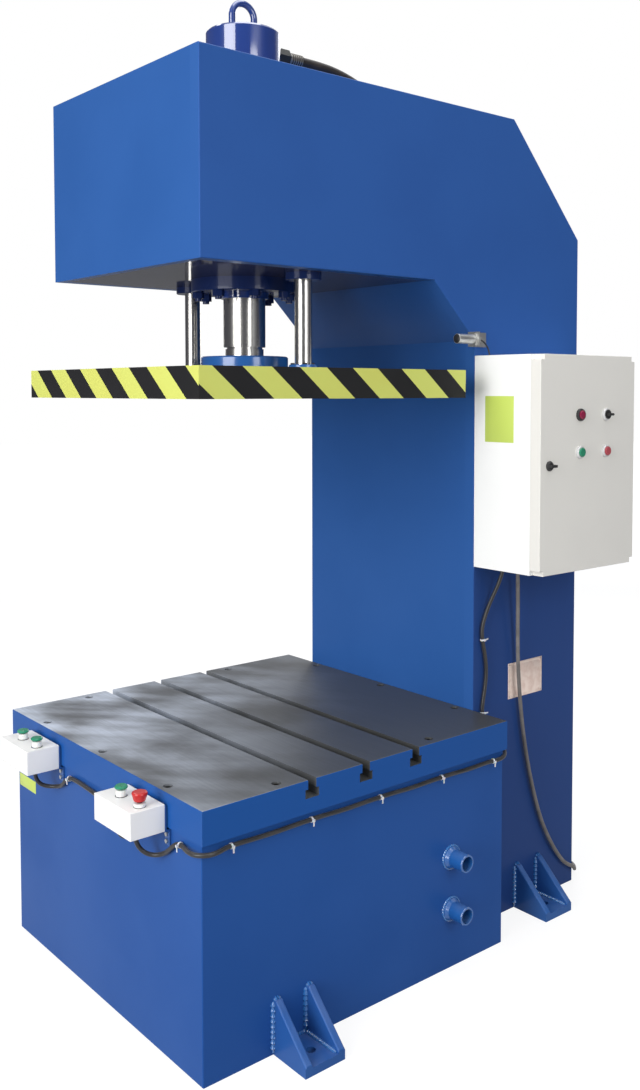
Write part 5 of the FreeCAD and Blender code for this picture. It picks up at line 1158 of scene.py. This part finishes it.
@dataclass
class CableRuns:
    """Control cables tied round the table, the sensor's lead and the supply cable."""

    shop: Workshop
    control: float = 0.012
    lead: float = 0.005
    supply: float = 0.013
    supply_length: float = 1.432
    link_route: tuple[Point, ...] = metres(
        (-262, -572, 585), (-263.3, -568.5, 566.9), (-261.3, -557.9, 551.4), (-255.8, -542.3, 542),
        (-244.8, -526.7, 539.6), (-228.7, -516.4, 541.9), (-210.5, -514.2, 548.5), (-194, -515.5, 559),
        (-180, -516.5, 571.5), (-164, -515.5, 582.5), (-144, -514.2, 588.5), (-115, -514.2, 590),
        (-75, -514.2, 589), (-31, -514.2, 587), (15, -514.2, 584), (55, -514.2, 580),
        (90, -514.2, 573.5), (118, -514.2, 566.5), (141, -514.2, 560.5), (161, -514.2, 554.5),
        (180.5, -514.2, 548), (198.7, -516.4, 541.9), (214.8, -526.7, 539.6), (225.8, -542.3, 542),
        (231.3, -557.9, 551.4), (233.3, -568.5, 566.9), (232, -572, 585),
    )
    main_route: tuple[Point, ...] = metres(
        (322, -572, 585), (324.5, -566.2, 563.8), (326.4, -556.6, 546.6), (334.7, -544.2, 534.7),
        (346.6, -530.2, 530.4), (361.6, -519.1, 533.5), (377.4, -514.2, 542.1), (393, -514.2, 553.5),
        (407, -514.2, 565), (421, -514.2, 576), (439, -514.2, 584.5), (460, -514.8, 586.5),
        (479, -518.5, 585), (498, -521.5, 584.5), (518, -520.5, 585), (538.5, -509, 586),
        (550, -488, 586.5), (549, -463.5, 587.5), (540.5, -440, 588), (540, -410, 588.5),
        (540, -355, 587), (540, -300, 586), (540, -215, 588), (540, -130, 588.2), (540, -60, 585.4),
        (540, 25, 587.5), (540, 115, 587.3), (540, 190, 584.2), (540, 265, 586.4), (540, 355, 586.4),
        (540, 425, 583.8), (540, 475, 585.2), (540.4, 516, 586), (545, 543, 585.5), (545, 567, 586.5),
        (537, 589, 589.5), (522, 607, 594), (503, 618, 601), (481, 623, 609), (460, 621, 620),
        (443, 618, 635), (429, 616, 655), (421, 615, 677), (417.5, 616, 700), (417.5, 621, 730),
        (417.5, 630, 770), (417.5, 635, 815), (417.5, 631, 862), (417.5, 620, 905), (417.5, 613, 940),
        (417.5, 616, 968), (419, 627, 998), (422, 638, 1026), (428, 649, 1054), (436, 659, 1082),
        (444, 667, 1110), (450, 672, 1139),
    )
    lead_route: tuple[Point, ...] = metres(
        (432, 568, 1866), (432, 580, 1865.5), (432.4, 592, 1862), (433.2, 603.7, 1854.5),
        (434.2, 612.6, 1844), (435.2, 618.4, 1831.5), (436, 621, 1818),
    )
    supply_route: tuple[Point, ...] = metres(
        (450, 745, 1139), (449, 747, 1085), (441, 758, 1015), (432, 768, 930), (427, 776, 830),
        (424, 788, 727), (422, 805, 616), (421, 829, 503), (420.5, 862, 388), (420, 904.5, 273.2),
        (422.4, 946.4, 195), (422.7, 984.8, 139.4), (421.3, 1014.7, 105.6), (423.3, 1036.3, 83.1),
        (431.6, 1074.1, 62.6), (411.2, 1103.9, 38), (391.7, 1126.6, 31.5), (375.8, 1149.6, 20),
        (358.5, 1166.4, 16.9), (336.2, 1177.3, 17.1), (313.2, 1179.7, 20.2), (291.2, 1173.4, 23),
        (271.6, 1158.3, 26.6), (259.5, 1136.2, 29.3), (257, 1112, 30),
    )
    sensor: Point = (0.432, 0.478, 1.866)
    sensor_cap: Outline = (
        (0.0, -0.0006), (0.0128, -0.0006), (0.0136, 0.0), (0.0138, 0.001), (0.0138, 0.0016)
    )
    sensor_steps: int = 28

    def build(self) -> None:
        """Lay the cables, dress what holds them and cap the sensor's sensing face."""
        self.shop.dress(Finish.BLACK_PLASTIC, "cable_glands")
        self.shop.dress(Finish.TIE, "cable_ties")
        self.shop.dress(Finish.ZINC, "slide_sensor")
        for name, route, diameter in (
            ("link_cable", self.link_route, self.control),
            ("main_control_cable", self.main_route, self.control),
            ("sensor_lead", self.lead_route, self.lead),
        ):
            run = self.shop.cable(name, route, diameter, Finish.CABLE, "black_rubber")
            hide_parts("control_cables")
        hanging = self.shop.cable("supply_lead", self.supply_route, self.supply, Finish.SUPPLY, "grey_cable")
        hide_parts("supply_cable")
        mesh = bmesh.new()
        add_turned(mesh, self.sensor_cap, facing("Y", self.sensor), self.sensor_steps)
        self.shop.piece("sensor_face", mesh, Finish.BLACK_PLASTIC, "black_plastic")


@dataclass
class Slide:
    """Moving plate with its warning band, ram and rods."""

    shop: Workshop

    def build(self) -> None:
        """Dress everything that moves with the ram."""
        self.shop.dress(Finish.SLIDE_FACE, "slide_plate")
        self.shop.dress(Finish.YELLOW, "hazard_band")
        self.shop.dress(Finish.BLACK, "hazard_stripes")
        self.shop.dress(Finish.CHROME, "ram", "guide_rods")
        self.shop.dress(Finish.CASTING, "slide_flanges")
        self.shop.dress(Finish.OXIDE, "slide_screws")


@dataclass
class Cabinet:
    """Electrical cabinet with its door, devices and plain sign field."""

    shop: Workshop
    sign_low: Point = (0.452, 0.5844, 1.551)
    sign_high: Point = (0.567, 0.585, 1.692)
    pointer_proud: float = 0.0004
    pointer_sunk: float = 0.0002
    pointer_half: float = 0.001
    pointer_span: tuple[float, float] = (0.001, 0.011)
    levers: tuple[tuple[Point, Point, float, float], ...] = (
        ((0.505, 0.652, 1.680), (0.516, 0.662, 1.698), 0.017, 0.0012),
        ((0.510, 0.751, 1.672), (0.5135, 0.789, 1.703), 0.065, 0.001),
    )
    levers_in_row: int = 3
    screw_first: Point = (0.475, 0.6465, 1.2525)
    screw_step: float = 0.0125
    screws: int = 28
    screw: Outline = ((0.0, 0.0016), (0.0024, 0.0016), (0.003, 0.0008), (0.003, -0.0008))
    screw_steps: int = 10

    def build(self) -> None:
        """Dress the cabinet and add its small pieces."""
        self.shop.dress(Finish.POWDER, "cabinet_box")
        self.shop.dress(Finish.DOOR, "cabinet_door")
        self.shop.dress(Finish.BLACK_PLASTIC, "cabinet_hinges", "door_hinge_leaves")
        self.shop.dress(Finish.BLACK_PLASTIC, "door_lock", "selector_knob")
        self.shop.dress(Finish.RINGS, "door_device_rings")
        self.shop.dress(Finish.LENS, "lamp_lens")
        self.shop.dress(Finish.GREEN, "start_button")
        self.shop.dress(Finish.STOP, "stop_button")
        self.shop.dress(Finish.DEVICE, "switchgear")
        mesh = bmesh.new()
        add_block(mesh, self.sign_low, self.sign_high, bevel=0.0002)
        self.shop.piece("sign_field", mesh, Finish.LIME, "warning_yellow")
        self.pointer()
        self.gear_details()

    def pointer(self) -> None:
        """White line on the selector's wing."""
        mesh = bmesh.new()
        low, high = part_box("selector_knob")
        middle = (low[1] + high[1]) / 2
        near, far = (low[2] + reach for reach in self.pointer_span)
        start = (high[0] - self.pointer_sunk, middle - self.pointer_half, near)
        end = (high[0] + self.pointer_proud, middle + self.pointer_half, far)
        add_block(mesh, start, end, bevel=0.0001)
        self.shop.piece("selector_pointer", mesh, Finish.WHITE_PLASTIC, "white_plastic", "selector")

    def gear_details(self) -> None:
        """Levers and screws on the devices behind the door."""
        mesh = bmesh.new()
        for low, high, step, bevel in self.levers:
            for index in range(self.levers_in_row):
                shift = Vector((0.0, step * index, 0.0))
                add_block(mesh, Vector(low) + shift, Vector(high) + shift, bevel)
        self.shop.piece("switch_levers", mesh, Finish.BLACK_PLASTIC, "black_plastic")
        mesh = bmesh.new()
        right, front, height = self.screw_first
        for index in range(self.screws):
            where = (right, front + self.screw_step * index, height)
            add_turned(mesh, self.screw, facing("X", where), self.screw_steps)
        self.shop.piece("terminal_screws", mesh, Finish.ZINC, "zinc_steel")


@dataclass
class ControlStation:
    """Two boxes with palm buttons and the emergency stop."""

    shop: Workshop
    centres: tuple[float, float] = (-0.298, 0.298)
    shift: float = 0.018
    half: float = 0.047
    row: float = -0.578
    top: float = 0.673
    ring: Outline = ((0.0136, 0.0), (0.0158, 0.0), (0.0160, 0.0007), (0.0156, 0.0012), (0.0136, 0.0012))
    steps: int = 36

    def build(self) -> None:
        """Dress the boxes, collars and buttons, and seal the collars with thin rubber rings."""
        self.shop.dress(Finish.BOX, "left_control_box", "right_control_box")
        self.shop.dress(Finish.WHITE_PLASTIC, "box_button_collars")
        self.shop.dress(Finish.GREEN, "outer_start_button", "middle_start_button", "inner_start_button")
        self.shop.dress(Finish.BLACK_PLASTIC, "estop_stem")
        self.shop.dress(Finish.RED, "estop_head")
        mesh = bmesh.new()
        for centre in self.centres:
            for side in (-1, 1):
                where = (centre + self.shift + side * self.half, self.row, self.top)
                add_turned(mesh, self.ring, facing("Z", where), self.steps)
        self.shop.piece("collar_seals", mesh, Finish.BLACK_PLASTIC, "black_plastic")


@dataclass
class PlainPlates:
    """Bare rating plate with rivets and a plain sticker on the base."""

    shop: Workshop
    wall: float = 0.4075
    plate: tuple[float, float, float, float] = (0.750, 0.919, 0.704, 0.821)
    thickness: float = 0.0012
    border: float = 0.004
    border_rise: float = 0.0002
    rivet: Outline = ((0.0, 0.0016), (0.0014, 0.0014), (0.0024, 0.0006), (0.0027, 0.0))
    rivet_inset: float = 0.010
    rivet_steps: int = 16
    sticker_low: Point = (-0.523, -0.5055, 0.464)
    sticker_high: Point = (-0.407, -0.505, 0.502)

    def build(self) -> None:
        """Make both plates."""
        front, back, low, high = self.plate
        mesh = bmesh.new()
        outer = self.wall + self.thickness
        add_block(mesh, (self.wall, front, low), (outer, back, high), bevel=0.0004)
        rim, rise = self.border, self.border_rise
        for near, far, under, over in (
            (front + rim, back - rim, low + rim, low + 2 * rim),
            (front + rim, back - rim, high - 2 * rim, high - rim),
            (front + rim, front + 2 * rim, low + rim, high - rim),
            (back - 2 * rim, back - rim, low + rim, high - rim),
        ):
            add_block(mesh, (outer - rise, near, under), (outer + rise, far, over))
        for across in (front + self.rivet_inset, back - self.rivet_inset):
            for height in (low + self.rivet_inset, high - self.rivet_inset):
                add_turned(mesh, self.rivet, facing("X", (outer, across, height)), self.rivet_steps)
        self.shop.piece("rating_plate", mesh, Finish.PLATE, "zinc_steel")
        mesh = bmesh.new()
        add_block(mesh, self.sticker_low, self.sticker_high, bevel=0.0001)
        self.shop.piece("base_sticker", mesh, Finish.LIME, "warning_yellow")


@dataclass
class PowerUnit:
    """Tank, motor, pump, valves and pipes inside the column."""

    shop: Workshop

    def build(self) -> None:
        """Dress the hidden hydraulics."""
        self.shop.dress(Finish.GREY, "oil_tank", "motor_and_pump")
        self.shop.dress(Finish.MACHINED, "valve_block")
        self.shop.dress(Finish.PIPE, "oil_pipes")


@dataclass(frozen=True)
class Lamp:
    """A soft panel: name, middle, width and height, watts."""

    name: str
    where: Point
    size: tuple[float, float]
    power: float

    def hang(self, target: Point) -> None:
        """Hang the panel so that it looks at a target.

        Args:
            target: the point.
        """
        data = bpy.data.lights.new(self.name, "AREA")
        data.shape = "RECTANGLE"
        data.size, data.size_y = self.size
        data.energy = self.power
        lamp = put_in_scene(self.name, data)
        lamp.location = self.where
        lamp.rotation_euler = (Vector(target) - Vector(self.where)).to_track_quat("-Z", "Y").to_euler()


@dataclass
class Studio:
    """Floor, lamps, world and camera."""

    eye: Point = (2.71005, -1.8978, 1.7055)
    yaw: float = 49.5
    pitch: float = -2.7
    focal_pixels: float = 1078.7
    centre_pixels: tuple[float, float] = (348.7, 442.5)
    picture: tuple[int, int] = (640, 1090)
    sensor: float = 36.0
    lamps: tuple[Lamp, ...] = (
        Lamp("key_panel", (1.2, -5.0, 2.6), (3.0, 4.6), 282.0),
        Lamp("side_panel", (5.4, -0.2, 2.8), (2.0, 3.0), 88.0),
        Lamp("left_panel", (-4.0, -0.4, 5.8), (2.4, 2.4), 60.0),
        Lamp("top_panel", (0.4, 0.2, 5.6), (3.0, 3.0), 90.0),
        Lamp("back_panel", (-2.6, 4.6, 3.2), (2.6, 2.6), 60.0),
    )
    target: Point = (0.1, 0.2, 1.35)
    fill: Colour = (0.42, 0.43, 0.45)
    backdrop: Colour = (0.88, 0.89, 0.92)
    doorway: Colour = (0.10, 0.10, 0.12)
    doorways: tuple[tuple[Point, float, float], ...] = (
        ((-0.84, -0.46, 0.29), 0.35, 0.8),
        ((0.566, 0.809, 0.15), 0.70, 0.93),
        ((0.80, -0.56, 0.2), 0.80, 0.95),
        ((-0.753, 0.643, 0.14), 0.94, 0.99),
    )
    floor_half: float = 30.0
    floor_bounce: Colour = (0.30, 0.30, 0.31)
    floor_shade: Colour = (0.2, 0.2, 0.2)
    floor_roughness: float = 0.9
    floor_glow: float = 0.86
    floor_mirrored: float = 0.7
    floor_ends: tuple[float, float] = (5.0, 11.0)
    floor_fade: float = 0.82

    def build(self) -> None:
        """Set the stage."""
        bpy.context.scene.view_settings.view_transform = "Standard"
        self.floor()
        self.light_world()
        for lamp in self.lamps:
            lamp.hang(self.target)
        self.camera()

    def floor(self) -> None:
        """Plain pale floor: white to the camera with a faint shadow, duller as a reflector."""
        mesh = bmesh.new()
        bmesh.ops.create_grid(mesh, x_segments=1, y_segments=1, size=self.floor_half)
        data = mesh_data("floor", mesh)
        shader = Shader("floor_white")
        camera = shader.add("LightPath").outputs["Is Camera Ray"]
        away = shader.add("VectorMath", {0: shader.place()}, operation="LENGTH").outputs["Value"]
        far = shader.ramp(away, *self.floor_ends)
        seen = self.seen(shader, self.floor_mirrored)
        near = shader.maths("SUBTRACT", 1.0, shader.times(far, self.floor_fade))
        near = shader.maths("MAXIMUM", near, camera)
        glow = shader.times(shader.times(seen, near), self.floor_glow)
        rise = shader.times(shader.times(far, camera), 1.0 - self.floor_glow)
        shader.give(
            Base_Color=shader.blend(seen, self.floor_bounce, self.floor_shade),
            Roughness=self.floor_roughness,
            Specular_IOR_Level=0.0,
            Emission_Color=grey(1.0),
            Emission_Strength=shader.maths("ADD", glow, rise),
        )
        data.materials.append(shader.material)
        put_in_scene("floor", data)

    def seen(self, bench: Bench, mirrored: float = 1.0) -> Socket:
        """Mask of the rays that see the background: camera, transmission and glossy rays.

        Args:
            bench: the shader tree that the mask is for.
            mirrored: strength of the background in glossy rays.

        Returns:
            The mask.
        """
        path = bench.add("LightPath").outputs
        plain = bench.maths("MAXIMUM", path["Is Camera Ray"], path["Is Transmission Ray"])
        return bench.maths("MAXIMUM", plain, bench.times(path["Is Glossy Ray"], mirrored))

    def light_world(self) -> None:
        """Pale walls with four darker doorways for the rays that see them, and a plain fill light."""
        world = bpy.data.worlds.new("studio")
        bpy.context.scene.world = world
        world.use_nodes = True
        bench = Bench(world.node_tree)
        heading = bench.add("TexCoord").outputs["Generated"]
        walls = self.backdrop
        for direction, edge, inner in self.doorways:
            walls = bench.blend(bench.ramp(bench.lean(heading, direction), edge, inner), walls, self.doorway)
        light = bench.blend(self.seen(bench), self.fill, walls)
        camera = bench.add("LightPath").outputs["Is Camera Ray"]
        sky = world.node_tree.nodes["Background"]
        bench.feed(sky.inputs[0], bench.blend(camera, light, grey(1.0)))

    def camera(self) -> None:
        """Camera at the photograph's viewpoint."""
        wide, tall = self.picture
        longest = max(self.picture)
        data = bpy.data.cameras.new("camera")
        data.sensor_width = self.sensor
        data.sensor_fit = "AUTO"
        data.lens = self.focal_pixels / longest * self.sensor
        data.shift_x = (wide / 2 - self.centre_pixels[0]) / longest
        data.shift_y = (self.centre_pixels[1] - tall / 2) / longest
        data.clip_end = 100.0
        camera = put_in_scene("camera", data)
        camera.location = self.eye
        camera.rotation_euler = (math.radians(90 + self.pitch), 0.0, math.radians(self.yaw))
        bpy.context.scene.camera = camera


def main() -> None:
    """Build the press in order."""
    logging.basicConfig(level=logging.INFO, format="%(message)s")
    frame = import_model()
    shop = Workshop(frame)
    Studio().build()
    for assembly in (
        PressureHose, CableRuns, MachineFrame, AnchorFeet, PipeSockets, Worktable, Cylinder, Slide, Cabinet,
        ControlStation, PlainPlates, PowerUnit,
    ):
        assembly(shop).build()
        log.info("finished %s", assembly.__name__)


if __name__ == "__main__":
    main()
